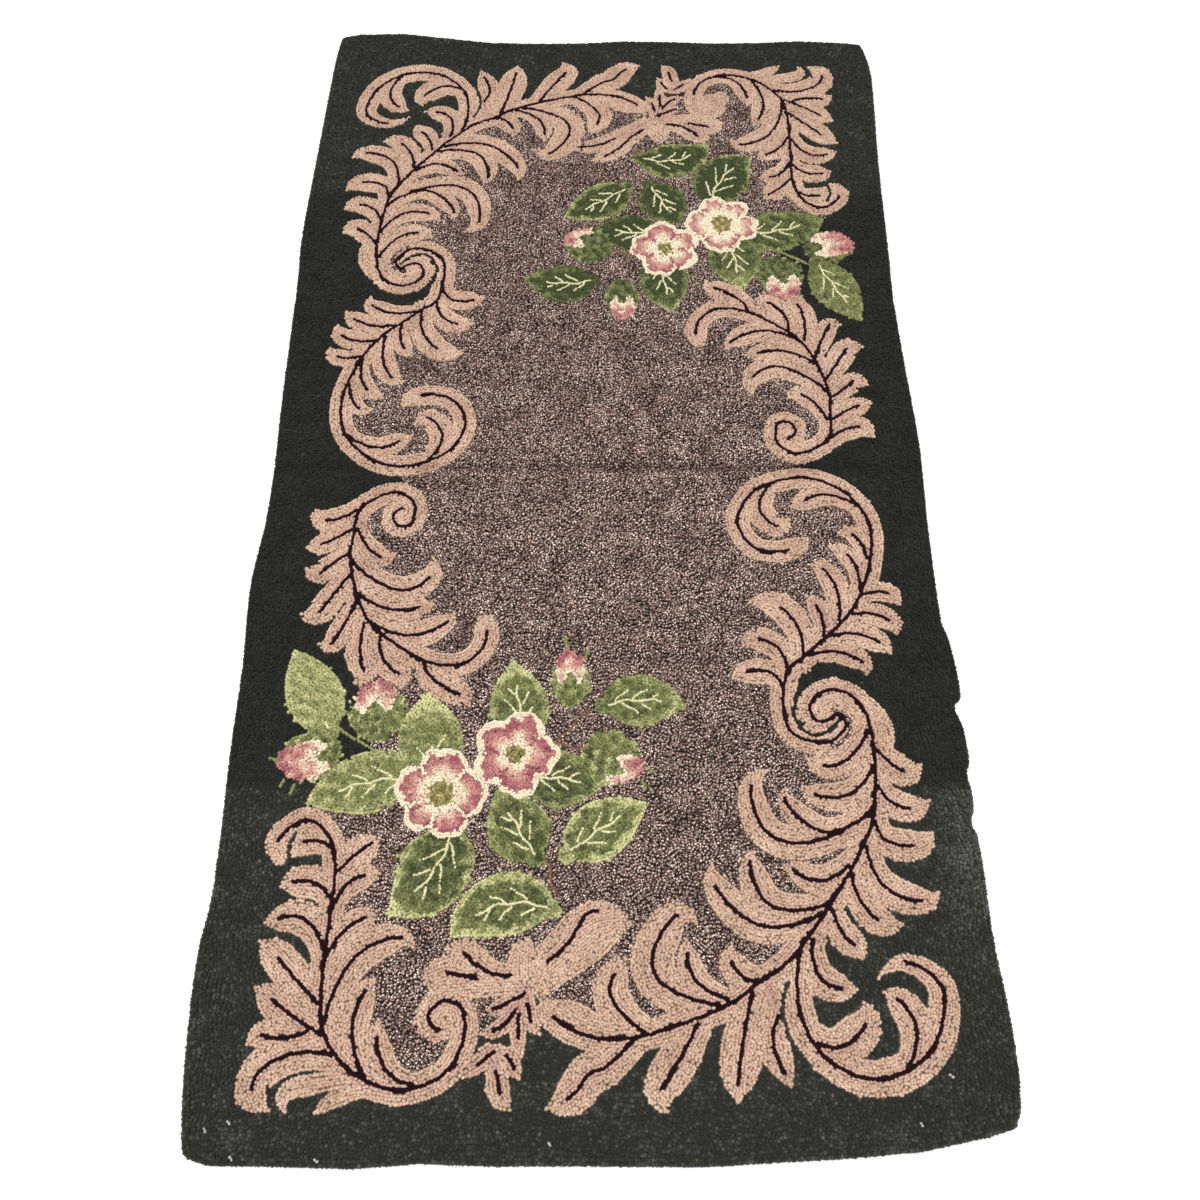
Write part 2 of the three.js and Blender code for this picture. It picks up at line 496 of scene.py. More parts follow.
@dataclass(frozen=True)
class Half:
    """One half of the design: the near one, or its half-turn with the maker's drift."""

    far: bool

    def place(self, places: Array) -> Array:
        """Puts places of the near half where this half has them, in the rug's frame.

        The far half's drift is the mean of the table's drifts, each weighted by a bell curve of
        its distance, and a half-turn follows it.

        Args:
            places: places about the design's middle, one a row.

        Returns:
            Places in the rug's frame.
        """
        moved = np.array(places, float).reshape(-1, 2)
        if self.far:
            table = np.array(FAR_DRIFTS, float)
            gap = np.hypot(*(moved[:, None, :] - table[None, :, :2]).transpose(2, 0, 1))
            weight = np.exp(-((gap / DRIFT_REACH) ** 2) / 2)
            share = weight / (weight.sum(1, keepdims=True) + DRIFT_EASE)
            moved = -(moved + share @ table[:, 2:])
        return moved + (0, DESIGN_MIDDLE)

    @property
    def turn(self) -> float:
        """How far this half is turned, in radians."""
        return math.pi if self.far else 0.0


HALVES = (Half(False), Half(True))


@dataclass
class Line:
    """A smooth line through knots: even points on it, how far along each lies, and headings."""

    points: Array
    along: Array
    heading: Array

    @classmethod
    def through(cls, knots: Array, step: float = 1.6) -> "Line":
        """Makes the line.

        A centripetal Catmull-Rom curve: between two knots a cubic runs whose pace follows the
        square root of the gaps, and its points are then spread evenly. At each end the bend of
        the last two gaps goes on.

        Args:
            knots: the places that it passes.
            step: about how far apart its points are.

        Returns:
            The line.
        """
        p = np.asarray(knots, float)
        if len(p) > 2:
            p = np.vstack([cls.beyond(p[2], p[1], p[0]), p, cls.beyond(p[-3], p[-2], p[-1])])
            gap = np.sqrt(np.hypot(*np.diff(p, axis=0).T)) + 1e-6
            at = np.concatenate([[0], np.cumsum(gap)])
            share = np.linspace(0, 1, 24, endpoint=False)[None, :, None]
            t0, t1, t2, t3 = (at[k : len(at) - 3 + k, None, None] for k in range(4))
            a, b, c, d = (p[k : len(p) - 3 + k, None, :] for k in range(4))
            t = t1 + (t2 - t1) * share
            ab = ((t1 - t) * a + (t - t0) * b) / (t1 - t0)
            bc = ((t2 - t) * b + (t - t1) * c) / (t2 - t1)
            cd = ((t3 - t) * c + (t - t2) * d) / (t3 - t2)
            abc = ((t2 - t) * ab + (t - t0) * bc) / (t2 - t0)
            bcd = ((t3 - t) * bc + (t - t1) * cd) / (t3 - t1)
            dense = (((t2 - t) * abc + (t - t1) * bcd) / (t2 - t1)).reshape(-1, 2)
            p = np.vstack([dense, p[-2]])
        run = run_of(p)
        along = np.linspace(0, run[-1], max(2, round(run[-1] / step) + 1))
        points = places_at(along, run, p)
        way = np.gradient(points, along, axis=0)
        return cls(points, along, np.arctan2(way[:, 1], way[:, 0]))

    @staticmethod
    def beyond(first: Array, second: Array, third: Array) -> Array:
        """The place after three, at the same pace and with the same bend, up to a right angle.

        Args:
            first: the first place.
            second: the second.
            third: the third.

        Returns:
            The next place.
        """
        one, two = second - first, third - second
        bend = math.atan2(one[0] * two[1] - one[1] * two[0], one @ two)
        bend = min(max(bend, -math.pi / 2), math.pi / 2)
        cos, sin = math.cos(bend), math.sin(bend)
        return third + np.array([two[0] * cos - two[1] * sin, two[0] * sin + two[1] * cos])

    @property
    def length(self) -> float:
        """Its length."""
        return float(self.along[-1])

    def beside(self, along: Array, off: Array | float) -> tuple[Array, Array]:
        """Places beside the line: along it, then straight off to its left.

        Args:
            along: how far along each place is.
            off: how far to the left, or to the right where it is below 0.

        Returns:
            The places, and the line's headings there.
        """
        x, y = places_at(along, self.along, self.points).T
        heading = np.interp(along, self.along, np.unwrap(self.heading))
        return np.stack([x - np.sin(heading) * off, y + np.cos(heading) * off], 1), heading


@dataclass
class Canvas:
    """The rug as one-millimetre cells: what each is hooked as, its tone and its row's heading."""

    low: Place = (-430.0, -795.0)
    size: tuple[int, int] = (861, 1591)
    part: Array = field(init=False)
    tone: Array = field(init=False)
    heading: Array = field(init=False)
    depth: Array = field(init=False)
    bleed: Array = field(init=False)

    def __post_init__(self) -> None:
        """Lays out the empty cells."""
        shape = (self.size[1], self.size[0])
        self.part = np.zeros(shape, np.int8)
        self.tone = np.full(shape, 0.5, np.float32)
        self.heading, self.depth, self.bleed = (np.zeros(shape, np.float32) for _ in range(3))

    def cells(self, places: Array) -> tuple[Array, Array]:
        """The cells that places lie in.

        Args:
            places: places in the rug's frame.

        Returns:
            Rows and columns, kept on the canvas.
        """
        column = np.clip(np.round(places[..., 0] - self.low[0]).astype(int), 0, self.size[0] - 1)
        row = np.clip(np.round(places[..., 1] - self.low[1]).astype(int), 0, self.size[1] - 1)
        return row, column

    def at(self, places: Array) -> Array:
        """What places are hooked as."""
        return self.part[self.cells(places)]

    def mark(self, row: Array, column: Array, inside: Array, **layers: Array | float) -> None:
        """Writes some cells.

        Args:
            row: the cells' rows.
            column: their columns.
            inside: which of them are written.
            **layers: what goes into each named layer, such as part or tone.
        """
        row, column = row[inside], column[inside]
        for name, values in layers.items():
            getattr(self, name)[row, column] = np.broadcast_to(values, inside.shape)[inside]

    def window(self, low: Array, high: Array) -> tuple[slice, slice, Array, Array]:
        """A rectangle of cells.

        Args:
            low: its lowest corner.
            high: its highest corner.

        Returns:
            Slices of rows and columns, and the cells' places across and along.
        """
        row, column = self.cells(np.array([low, high]))
        rows, columns = slice(row[0], row[1] + 1), slice(column[0], column[1] + 1)
        x = np.arange(column[0], column[1] + 1) + self.low[0]
        y = np.arange(row[0], row[1] + 1) + self.low[1]
        return rows, columns, *np.meshgrid(x, y)

    def inside(self, ring: Array) -> Array:
        """The cells inside a closed ring: those with an odd count of its sides to their left.

        Args:
            ring: its corners in order.

        Returns:
            True for each cell inside.
        """
        start, end = ring, np.roll(ring, -1, axis=0)
        y = np.arange(self.size[1])[:, None] + self.low[1]
        crossed = (start[:, 1] <= y) != (end[:, 1] <= y)
        row, side = np.nonzero(crossed)
        share = (y[row, 0] - start[side, 1]) / (end[side, 1] - start[side, 1])
        x = start[side, 0] + share * (end[side, 0] - start[side, 0])
        column = np.clip(np.ceil(x - self.low[0]).astype(int), 0, self.size[0] - 1)
        count = np.zeros(self.part.shape, int)
        np.add.at(count, (row, column), 1)
        return np.cumsum(count, axis=1) % 2 == 1

    def near(self, line: Line, reach: float) -> tuple[Array, Array, Array, Array, Array]:
        """The cells near a line, each with its nearest point on it.

        Args:
            line: the line.
            reach: how far off it the cells go.

        Returns:
            Rows, columns, distance, distance along the line, and heading.
        """
        low, high = line.points.min(0) - reach, line.points.max(0) + reach
        rows, columns, x, y = self.window(low, high)
        best = np.full(x.shape, FAR_AWAY)
        which = np.zeros(x.shape, int)
        for first in range(0, len(line.points), 12):
            few = line.points[first : first + 12]
            corner = (x[0, 0], y[0, 0])
            (x0, y0), (x1, y1) = few.min(0) - reach - corner, few.max(0) + reach - corner
            part = (slice(max(0, int(y0)), int(y1) + 2), slice(max(0, int(x0)), int(x1) + 2))
            gap = (x[part][..., None] - few[:, 0]) ** 2 + (y[part][..., None] - few[:, 1]) ** 2
            nearest, least = gap.argmin(-1), gap.min(-1)
            closer = least < best[part]
            best[part] = np.where(closer, least, best[part])
            which[part] = np.where(closer, nearest + first, which[part])
        distance = np.sqrt(best)
        row, column = np.nonzero(distance <= reach)
        spot = which[row, column]
        return (
            row + rows.start,
            column + columns.start,
            distance[row, column],
            line.along[spot],
            line.heading[spot],
        )


@dataclass
class Pile:
    """All the loops hooked so far, and half-millimetre cells that say where no more fit.

    The full cells keep each loop's own room, and the tight ones just what its yarn fills.
    """

    canvas: Canvas
    squeezed: float = 0.35
    full: Array = field(init=False)
    tight: Array = field(init=False)
    rows: list[dict[str, Array]] = field(default_factory=list)

    def __post_init__(self) -> None:
        """Starts with an empty foundation."""
        self.full = np.zeros((self.canvas.size[1] * 2, self.canvas.size[0] * 2), bool)
        self.tight = self.full.copy()

    def spots(self, places: Array) -> tuple[Array, Array]:
        """The half-millimetre cells of places.

        Args:
            places: places in the rug's frame.

        Returns:
            Rows and columns, kept on the canvas.
        """
        column = np.round((places[..., 0] - self.canvas.low[0]) * 2).astype(int)
        row = np.round((places[..., 1] - self.canvas.low[1]) * 2).astype(int)
        return np.clip(row, 0, self.full.shape[0] - 1), np.clip(column, 0, self.full.shape[1] - 1)

    def hook(
        self,
        places: Array,
        heading: Array | float,
        room: float,
        part: Part | None = None,
        on: tuple[Part, ...] = (),
        squeeze: bool = False,
    ) -> None:
        """Hooks a loop at each place that is on the rug and free, and marks its room as full.

        Args:
            places: where the hook goes in.
            heading: the row's direction at each.
            room: how near the next loop may come.
            part: what they are hooked as; the canvas says where it is None.
            on: what the canvas has to say at a place; anything where it is empty.
            squeeze: whether a loop may go into any gap that its yarn fits.
        """
        row, column = self.spots(places)
        planned = self.canvas.at(places)
        taken = self.tight if squeeze else self.full
        keep = ~taken[row, column] & (np.isin(planned, on) if on else planned > 0)
        if not keep.any():
            return
        row, column = row[keep], column[keep]
        for cells, reach in ((self.full, room), (self.tight, room - self.squeezed)):
            span = np.arange(-round(reach * 2), round(reach * 2) + 1)
            across, down = (grid.ravel() for grid in np.meshgrid(span, span))
            disc = np.hypot(across, down) < reach * 2
            r = np.clip(row[:, None] + down[disc], 0, cells.shape[0] - 1)
            c = np.clip(column[:, None] + across[disc], 0, cells.shape[1] - 1)
            cells[r, c] = True
        hooked = planned if part is None else np.full(len(places), int(part))
        self.rows.append(
            {
                "place": places[keep],
                "heading": np.broadcast_to(heading, keep.shape)[keep].astype(float),
                "part": hooked[keep].astype(int),
            }
        )

    def gather(self) -> dict[str, Array]:
        """All the loops.

        Returns:
            Their places, headings and parts as whole arrays.
        """
        return {key: np.concatenate([row[key] for row in self.rows]) for key in self.rows[0]}


class Hand(NamedTuple):
    """How a yarn is hooked, in millimetres.

    A loop's foot, the least room about it, how far it strays, and the spacing along a row and from
    row to row.
    """

    foot: float
    room: float = 2.7
    stray: float = 0.3
    along: float = 3.0
    rows: float = 3.1


HANDS = {
    Part.BORDER: Hand(5.4, 3.3, 0.5, 3.7, 3.9),
    Part.GROUND: Hand(5.0, 2.85, 0.5, 3.2, 3.35),
    Part.SCROLL: Hand(5.6, 2.8, 0.36, 3.1, 3.2),
    Part.VEIN: Hand(5.1, 3.1, 0.2, 2.6),
    Part.LEAF: Hand(5.6, 2.7, 0.3, 3.0, 3.1),
    Part.LEAF_VEIN: Hand(5.0, 2.3, 0.3, 2.3),
    Part.PETAL: Hand(5.6),
    Part.EYE: Hand(5.2),
    Part.STALK: Hand(5.2, 2.3, 0.3, 3.2),
    Part.LINT: Hand(3.4, 2.4),
}


@dataclass
class Scroll:
    """The feathered scrolls, their ribbon and sprigs, in pink beige with a dark row as vein."""

    half: Half
    hand: Hand = HANDS[Part.SCROLL]
    bleed: float = 7.0

    def shapes(self) -> list[tuple[Frond, Line, Line]]:
        """Every lobe of this half.

        Returns:
            Its row of the table, its axis with the tip, and its vein.
        """
        made = []
        own = FAR_ONLY if self.half.far else NEAR_ONLY
        spine_d = SPINE_D._replace(vein_from=0.17) if self.half.far else SPINE_D
        lobes = (*FRONDS_A, *FRONDS_B, *FRONDS_C, *FRONDS_D, *RIBBON)
        for frond in (SPINE_A, SPINE_B, SPINE_C, spine_d, *lobes, *own):
            axis = Line.through(self.half.place([*frond.path, frond.tip]))
            made.append((frond, axis, Line.through(self.half.place(frond.path))))
        return made

    @staticmethod
    def reach(frond: Frond, share: Array) -> Array:
        """Half a lobe's width: widest past its middle, then drawn in to a tip; a spine's is even.

        Args:
            frond: the lobe.
            share: how far along its axis, from 0 to 1.

        Returns:
            The half width.
        """
        if len(frond.path) > SPINE_KNOTS:
            drawn = np.interp(share, (0, 0.96, 0.985, 1), (1, 1, 0.8, 0.15))
        else:
            drawn = np.interp(
                share, (0, 0.3, 0.52, 0.68, 0.8, 0.9, 1), (0.9, 1.06, 1.2, 1.16, 0.98, 0.64, 0.06)
            )
        return np.maximum(frond.half * drawn, 1.6)

    def paint(self, canvas: Canvas) -> None:
        """Marks the cells of the lobes, with the heading of the nearest axis.

        Args:
            canvas: the rug's cells.
        """
        best = np.full(canvas.part.shape, FAR_AWAY, np.float32)
        for frond, axis, vein in self.shapes():
            if frond.veined:
                row, column, gap, _, _ = canvas.near(vein, self.bleed)
                spread = 1 - gap / self.bleed
                canvas.bleed[row, column] = np.maximum(canvas.bleed[row, column], spread)
            row, column, gap, along, heading = canvas.near(axis, frond.half * 1.2 + 1)
            reach = self.reach(frond, along / axis.length)
            inside = gap < reach
            row, column, gap, reach, heading = (v[inside] for v in (row, column, gap, reach, heading))
            canvas.part[row, column] = Part.SCROLL
            canvas.depth[row, column] = np.maximum(canvas.depth[row, column], reach - gap)
            nearer = gap < best[row, column]
            row, column = row[nearer], column[nearer]
            best[row, column] = gap[nearer]
            canvas.heading[row, column] = heading[nearer]

    def hook_veins(self, pile: Pile) -> None:
        """Hooks the dark veins, and the single rows that part two arms.

        Args:
            pile: the loops so far.
        """
        for frond, _, vein in self.shapes():
            if frond.veined:
                self.hook_line(pile, vein, Part.VEIN, frond.vein_from)
        for lines, part in ((BORDER_LINES, Part.BORDER), (GROUND_LINES, Part.GROUND)):
            for knots in lines:
                self.hook_line(pile, Line.through(self.half.place(knots)), part)

    def hook_line(self, pile: Pile, line: Line, part: Part, start: float = 0.0) -> None:
        """Hooks one close row along a line, which sways a little; a vein's is doubled in places.

        Args:
            pile: the loops so far.
            line: the line.
            part: what it is hooked as.
            start: the share of the line where the row starts.
        """
        hand = HANDS[Part.VEIN]
        along = np.arange(start * line.length, line.length, hand.along)
        rows = [line.beside(along, 0.35 * np.sin(along / 2.9))]
        if part == Part.VEIN:
            long = line.length > 250
            thick = np.sin(along / 9 + line.length) > (0.55 if long else 0.7 + along / line.length)
            rows.append(line.beside(along[thick] + hand.along / 2, 1.1 * (-1) ** round(line.length)))
        places, heading = (np.concatenate(both) for both in zip(*rows, strict=True))
        pile.hook(places, heading, hand.room, part, squeeze=True)

    def hook_rows(self, pile: Pile) -> None:
        """Hooks the row inside each lobe's outline, then two rows on each side of its middle.

        Args:
            pile: the loops so far.
        """
        shapes = self.shapes()
        for frond, axis, _ in shapes:
            along = np.arange(0.5, axis.length + 2, self.hand.along)
            reach = self.reach(frond, along / axis.length) - self.hand.rows * 0.5
            for side in (-1, 1):
                places, heading = axis.beside(along, side * np.maximum(reach, 0))
                on_edge = pile.canvas.depth[pile.canvas.cells(places)] < self.hand.rows * 0.5 + 1.1
                pile.hook(places[on_edge], heading[on_edge], self.hand.room)
        for number in (0.95, 1.95):
            for _, axis, _ in shapes:
                along = np.arange(1.0 + number, axis.length, self.hand.along)
                for side in (-1, 1):
                    row = axis.beside(along, side * self.hand.rows * number)
                    pile.hook(*row, self.hand.room, on=(Part.SCROLL,))


@dataclass
class Bouquet:
    """Two open roses with their leaves, buds and stems, over border, ground and scrolls."""

    half: Half
    hand: Hand = HANDS[Part.LEAF]
    stem_room: float = 2.4
    # painted shade: leaves and calyxes darker in the far half, where less light falls
    far_painted_shade: float = 0.31
    far_calyx_painted_shade: float = 0.2
    far_paler_ring: float = 0.09

    @property
    def seed(self) -> int:
        """Where this half's seeds start."""
        return 500 if self.half.far else 400

    def axis(self, base: Place, tip: Place, bend: float) -> Line:
        """The middle line of a leaf or bud, bowed to its left by a share of its length.

        Args:
            base: where it starts.
            tip: where it ends.
            bend: the bow's share of the length.

        Returns:
            The line.
        """
        start, end = np.array(base, float), np.array(tip, float)
        way = end - start
        middle = (start + end) / 2 + bend * np.array([-way[1], way[0]])
        return Line.through(self.half.place([start, middle, end]))

    @staticmethod
    def leaf_reach(leaf: Leaf, share: Array) -> Array:
        """Half a leaf's width: a sine of the share along it, raised to a power under one.

        Args:
            leaf: its row of the table.
            share: how far along it, from 0 at the base to 1 at the tip.

        Returns:
            The half width.
        """
        return leaf.half * np.sin(math.pi * np.clip(share, 0.03, 0.985) ** 0.82) ** 0.72

    def paint_leaf(self, canvas: Canvas, leaf: Leaf, seed: int) -> None:
        """Marks a leaf: pointed, widest before its middle, with a core, a broad rim and its end.

        The rim's tone fades into the core's over a width that wavers.

        Args:
            canvas: the rug's cells.
            leaf: its row of the table.
            seed: picks its unevenness.
        """
        axis = self.axis(leaf.base, leaf.tip, leaf.bend)
        row, column, gap, along, heading = canvas.near(axis, leaf.half + 4)
        share = along / axis.length
        x, y = column + canvas.low[0], row + canvas.low[1]
        reach = self.leaf_reach(leaf, share) * (1 + 0.07 * cloud(x, y, 12, seed)) + 1.2
        depth = reach - gap
        width = 6.5 + 3.5 * cloud(x, y, 24, seed + 1) + 1.5 * cloud(x, y, 7, seed + 9)
        width = width * (0.72 if self.half.far else 1)
        rim = np.clip(1.9 - depth / np.maximum(width, 2), 0, 1)
        tone = leaf.core + (leaf.rim - leaf.core) * rim + leaf.end * np.clip(share * 3 - 1.8, 0, 1)
        tone += 0.12 * cloud(x, y, 15, seed + 2) - 0.16 * np.clip(1 - share * 4, 0, 1)
        # painted shade: the leaf darker in the far half
        tone -= self.far_painted_shade * self.half.far
        canvas.mark(row, column, depth > 0, part=Part.LEAF, tone=tone, heading=heading, depth=depth)

    def paint_bud(self, canvas: Canvas, bud: Bud, seed: int) -> None:
        """Marks a bud: an egg of green calyx whose end shows petals, cream below and rose at the tip.

        Args:
            canvas: the rug's cells.
            bud: its row of the table.
            seed: picks its unevenness.
        """
        axis = self.axis(bud.base, bud.tip, 0.0)
        row, column, _, _, _ = canvas.near(axis, bud.half + 3)
        x, y = column + canvas.low[0], row + canvas.low[1]
        start = axis.points[0]
        way = (axis.points[-1] - start) / axis.length
        off = (x - start[0]) * -way[1] + (y - start[1]) * way[0]
        up = ((x - start[0]) * way[0] + (y - start[1]) * way[1]) / axis.length
        reach = bud.half * np.sin(math.pi * np.clip(up, 0, 1) ** 0.85) ** 0.55
        reach = reach * (1 + 0.1 * cloud(x, y, 9, seed))
        depth = reach - np.abs(off)
        heading = math.atan2(way[1], way[0])
        side = (off - bud.lean * bud.half) / (bud.half * 0.74)
        first = 1 - bud.petals + 0.1 * np.cos(side * 5.5)
        petal = (np.abs(side) < 1) & (up > first)
        rose = np.clip((up - first) / bud.petals * 1.3, 0, 1)
        petal_tone = 0.98 - 0.72 * rose**1.1 + 0.22 * cloud(x, y, 12, seed + 3)
        rim = np.clip(1 - depth / 6, 0, 1)
        green = 0.34 + 0.16 * up + 0.25 * rim + 0.2 * cloud(x, y, 12, seed + 4)
        # painted shade: the calyx darker in the far half
        green -= self.far_calyx_painted_shade * self.half.far
        canvas.mark(row, column, depth > 0, part=Part.LEAF, tone=green, heading=heading, depth=depth)
        canvas.mark(row, column, (depth > 0) & petal, part=Part.PETAL, tone=petal_tone)

    def paint_rose(self, canvas: Canvas, rose: Rose, seed: int) -> None:
        """Marks a rose by its distance from the middle over its rim's, which dips at each notch.

        From outside in: a cream rim, a rose band that fades to pink, a ragged cream ring, the eye.

        Args:
            canvas: the rug's cells.
            rose: its row of the table.
            seed: picks its unevenness.
        """
        middle = self.half.place([rose.middle])[0]
        reach = rose.radius + 8
        rows, columns, x, y = canvas.window(middle - reach, middle + reach)
        radius = np.hypot(x - middle[0], y - middle[1])
        bearing = np.arctan2(y - middle[1], x - middle[0])
        edge, gap = self.rose_edge(rose, bearing, seed)
        share = radius / edge
        ring = rose.ring + self.far_paler_ring * self.half.far
        band = np.interp(share - ring, (0, 0.1, 0.2, 0.3, 0.4), (0.95, 0.72, 0.5, 0.28, 0.16))
        band = band + 0.06 * self.half.far
        blush = 0.3 * np.clip(1 - gap * radius / 9, 0, 1) * np.clip(share * 2.5 - 1, 0, 1)
        tone = band - blush + 0.13 * cloud(x, y, 14, seed + 1)
        seam = (gap * radius < 2.3) & (share > 0.45)
        tone = np.where(seam, rose.seam_tone, tone)
        cream = edge - radius < 7 + 2.4 * cloud(x, y, 19, seed + 2)
        tone = np.where(cream, 0.96, tone)
        eye = radius < rose.eye * (0.96 + 0.16 * cloud(x, y, 6, seed + 3))
        part = np.where(eye, int(Part.EYE), int(Part.PETAL))
        tone = np.where(eye, 0.45 + 0.3 * cloud(x, y, 9, seed + 4), tone)
        heading = bearing + math.pi / 2
        row, column = np.mgrid[rows, columns]
        depth = edge - radius
        canvas.mark(row, column, share < 1, part=part, tone=tone, heading=heading, depth=depth)

    def rose_edge(self, rose: Rose, bearing: Array, seed: int) -> tuple[Array, Array]:
        """A rose's rim: its radius, less a dip towards each notch and a little waviness.

        Args:
            rose: its row of the table.
            bearing: directions from its middle.
            seed: picks the waviness.

        Returns:
            The rim's radius, and the angle to the nearest notch, for each bearing.
        """
        notches = np.radians(rose.notches) + self.half.turn
        gap = np.abs((bearing[..., None] - notches + math.pi) % (2 * math.pi) - math.pi).min(-1)
        edge = rose.radius * (0.74 + 0.26 * np.clip(gap / 0.4, 0, 1) ** 0.6)
        wave = cloud(60 * np.cos(bearing), 60 * np.sin(bearing), 26, seed)
        return edge * (1 + 0.04 * wave), gap

    def hook_rows(self, pile: Pile) -> None:
        """Hooks each rose in rows that follow its rim inwards, and the row inside each leaf's rim.

        Args:
            pile: the loops so far.
        """
        for number, rose in reversed(list(enumerate(ROSES))):
            middle = self.half.place([rose.middle])[0]
            for inset in np.arange(1.5, rose.radius, self.hand.rows):
                bearing = np.arange(0, 2 * math.pi, self.hand.along / max(rose.radius - inset, 3.0))
                edge, _ = self.rose_edge(rose, bearing, self.seed + 10 * number + 7)
                radius = np.maximum(edge - inset, 0)
                ray = np.stack([np.cos(bearing), np.sin(bearing)], axis=1)
                places = (middle + radius[:, None] * ray)[radius > 2]
                heading = (bearing + math.pi / 2)[radius > 2]
                pile.hook(places, heading, self.hand.room, on=(Part.PETAL, Part.EYE))
        for leaf in LEAVES:
            axis = self.axis(leaf.base, leaf.tip, leaf.bend)
            along = np.arange(0, axis.length, self.hand.along)
            reach = self.leaf_reach(leaf, along / axis.length) - 0.6
            for side in (-1, 1):
                pile.hook(*axis.beside(along, side * reach), self.hand.room, on=(Part.LEAF,))

    def paint(self, canvas: Canvas) -> None:
        """Marks leaves, then buds, then roses over them.

        Args:
            canvas: the rug's cells.
        """
        for number, leaf in enumerate(LEAVES):
            self.paint_leaf(canvas, leaf, self.seed + 10 * number)
        for number, bud in enumerate(BUDS):
            self.paint_bud(canvas, bud, self.seed + 10 * number + 5)
        for number, rose in enumerate(ROSES):
            self.paint_rose(canvas, rose, self.seed + 10 * number + 7)

    def hook_veins(self, pile: Pile) -> None:
        """Hooks each leaf's cream veins, a main one and its side ones, then the stems and stalks.

        Args:
            pile: the loops so far.
        """
        vein, stalk = HANDS[Part.LEAF_VEIN], HANDS[Part.STALK]
        step = vein.along
        for leaf in LEAVES:
            axis = self.axis(leaf.base, leaf.tip, leaf.bend)
            end = leaf.vein if not self.half.far else 0.72
            run = np.arange(0.06, end, step / axis.length) * axis.length
            row = axis.beside(run, 1.3 * np.sin(run / 5 + leaf.tip[0]))
            pile.hook(*row, vein.room, Part.LEAF_VEIN, on=(Part.LEAF,))
            for start, side, long in (rib for rib in SIDE_VEINS if rib[0] < end - 0.12):
                out = np.arange(step, long * leaf.half, step)
                ahead = start * axis.length + out * 0.7 + out**2 / leaf.half * 0.55
                places, heading = axis.beside(ahead, side * (out * 0.8 + 0.8 * np.sin(out / 3)))
                heading = heading + side * 0.7
                pile.hook(places, heading, vein.room, Part.LEAF_VEIN, on=(Part.LEAF,))
        for knots in STEMS if self.half.far else STEMS + WISPS:
            line = Line.through(self.half.place(knots))
            row = line.beside(np.arange(0, line.length, step), 0.0)
            pile.hook(*row, self.stem_room, Part.LEAF)
        for knots in STALKS:
            line = Line.through(self.half.place(knots))
            along = np.arange(0, line.length, stalk.along)
            row = line.beside(along, 1.2 * np.sin(along / 5))
            pile.hook(*row, stalk.room, Part.STALK, on=(Part.GROUND,))


@dataclass
class Cloth:
    """The cloth's outline and the height of its pile, in millimetres, as the solid has them."""

    outline: Array
    thickness: float = 8.5
    shoulder: float = 6.0
    edge_height: float = 0.42
    swell: float = 0.45
    swell_across: float = 310.0
    swell_along: float = 430.0
    creases: tuple[Crease, ...] = CREASES

    @classmethod
    def from_frame(cls) -> "Cloth":
        """Reads the outline off the solid: its widest line, in order round the middle.

        Returns:
            The cloth.
        """
        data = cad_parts["rug"].data
        points = np.empty(len(data.vertices) * 3)
        data.vertices.foreach_get("co", points)
        points = np.unique(np.round(points.reshape(-1, 3) / MM, 2), axis=0)
        ring = points[np.abs(points[:, 2] - cls.thickness * cls.edge_height) < 0.03, :2]
        order = np.argsort(np.arctan2(ring[:, 1], ring[:, 0]))
        return cls(ring[order])

    def height(self, x: Array, y: Array, inset: Array) -> Array:
        """The pile's height: a rounded shoulder, plus a slow swell, less the creases' troughs.

        Args:
            x: places across.
            y: places along.
            inset: how far in from the outline each is.

        Returns:
            Heights over the floor.
        """
        rise = np.clip(inset / self.shoulder, 0, 1)
        rounded = self.edge_height + (1 - self.edge_height) * np.sqrt(1 - (1 - rise) ** 2)
        swell = self.swell * np.sin(2 * math.pi * x / self.swell_across + y / self.swell_along)
        swell = swell * np.cos(2 * math.pi * y / self.swell_along)
        trough = sum(c.depth * np.exp(-(((y - c.at) / c.spread) ** 2)) for c in self.creases)
        return self.thickness * rounded + rise * (swell - trough)

    @property
    def ring(self) -> Array:
        """The outline's corners, with the first one again at the end."""
        return np.vstack([self.outline, self.outline[:1]])

    def edge(self) -> Line:
        """The outline as a closed line, anticlockwise, its points close together.

        Returns:
            The line.
        """
        run = run_of(self.ring)
        along = np.arange(0, run[-1], 1.5)
        points = places_at(along, run, self.ring)
        way = np.roll(points, -2, axis=0) - np.roll(points, 2, axis=0)
        return Line(points, along, np.arctan2(way[:, 1], way[:, 0]))


# Finishes


def start_material(
    name: str, **values: object
) -> tuple[bpy.types.Material, bpy.types.NodeTree, bpy.types.Node]:
    """Makes a material with one shader, and sets the shader's own sockets.

    Args:
        name: the material's name.
        **values: for each socket, by its name with _ for a blank, its value.

    Returns:
        The material, its node tree and its shader.
    """
    material = bpy.data.materials.new(name)
    material.use_nodes = True
    shader = material.node_tree.nodes["Principled BSDF"]
    for key, value in values.items():
        shader.inputs[key.replace("_", " ")].default_value = value
    return material, material.node_tree, shader


def add_node(tree: bpy.types.NodeTree, kind: str, settings: dict | None = None, **links: object) -> object:
    """Adds a node, sets it up and links its inputs.

    Args:
        tree: the material's node tree.
        kind: the node's type.
        settings: properties, or values of inputs where the key isn't a property.
        **links: for each input, by its name with _ for a blank or as in0, in1 and so on, the output
            that feeds it.

    Returns:
        The node.
    """
    node = tree.nodes.new(kind)
    for key, value in (settings or {}).items():
        if hasattr(node, key):
            setattr(node, key, value)
        else:
            node.inputs[key].default_value = value
    for key, output in links.items():
        socket = key.replace("_", " ") if not key.startswith("in") else int(key[2:])
        tree.links.new(output, node.inputs[socket])
    return node


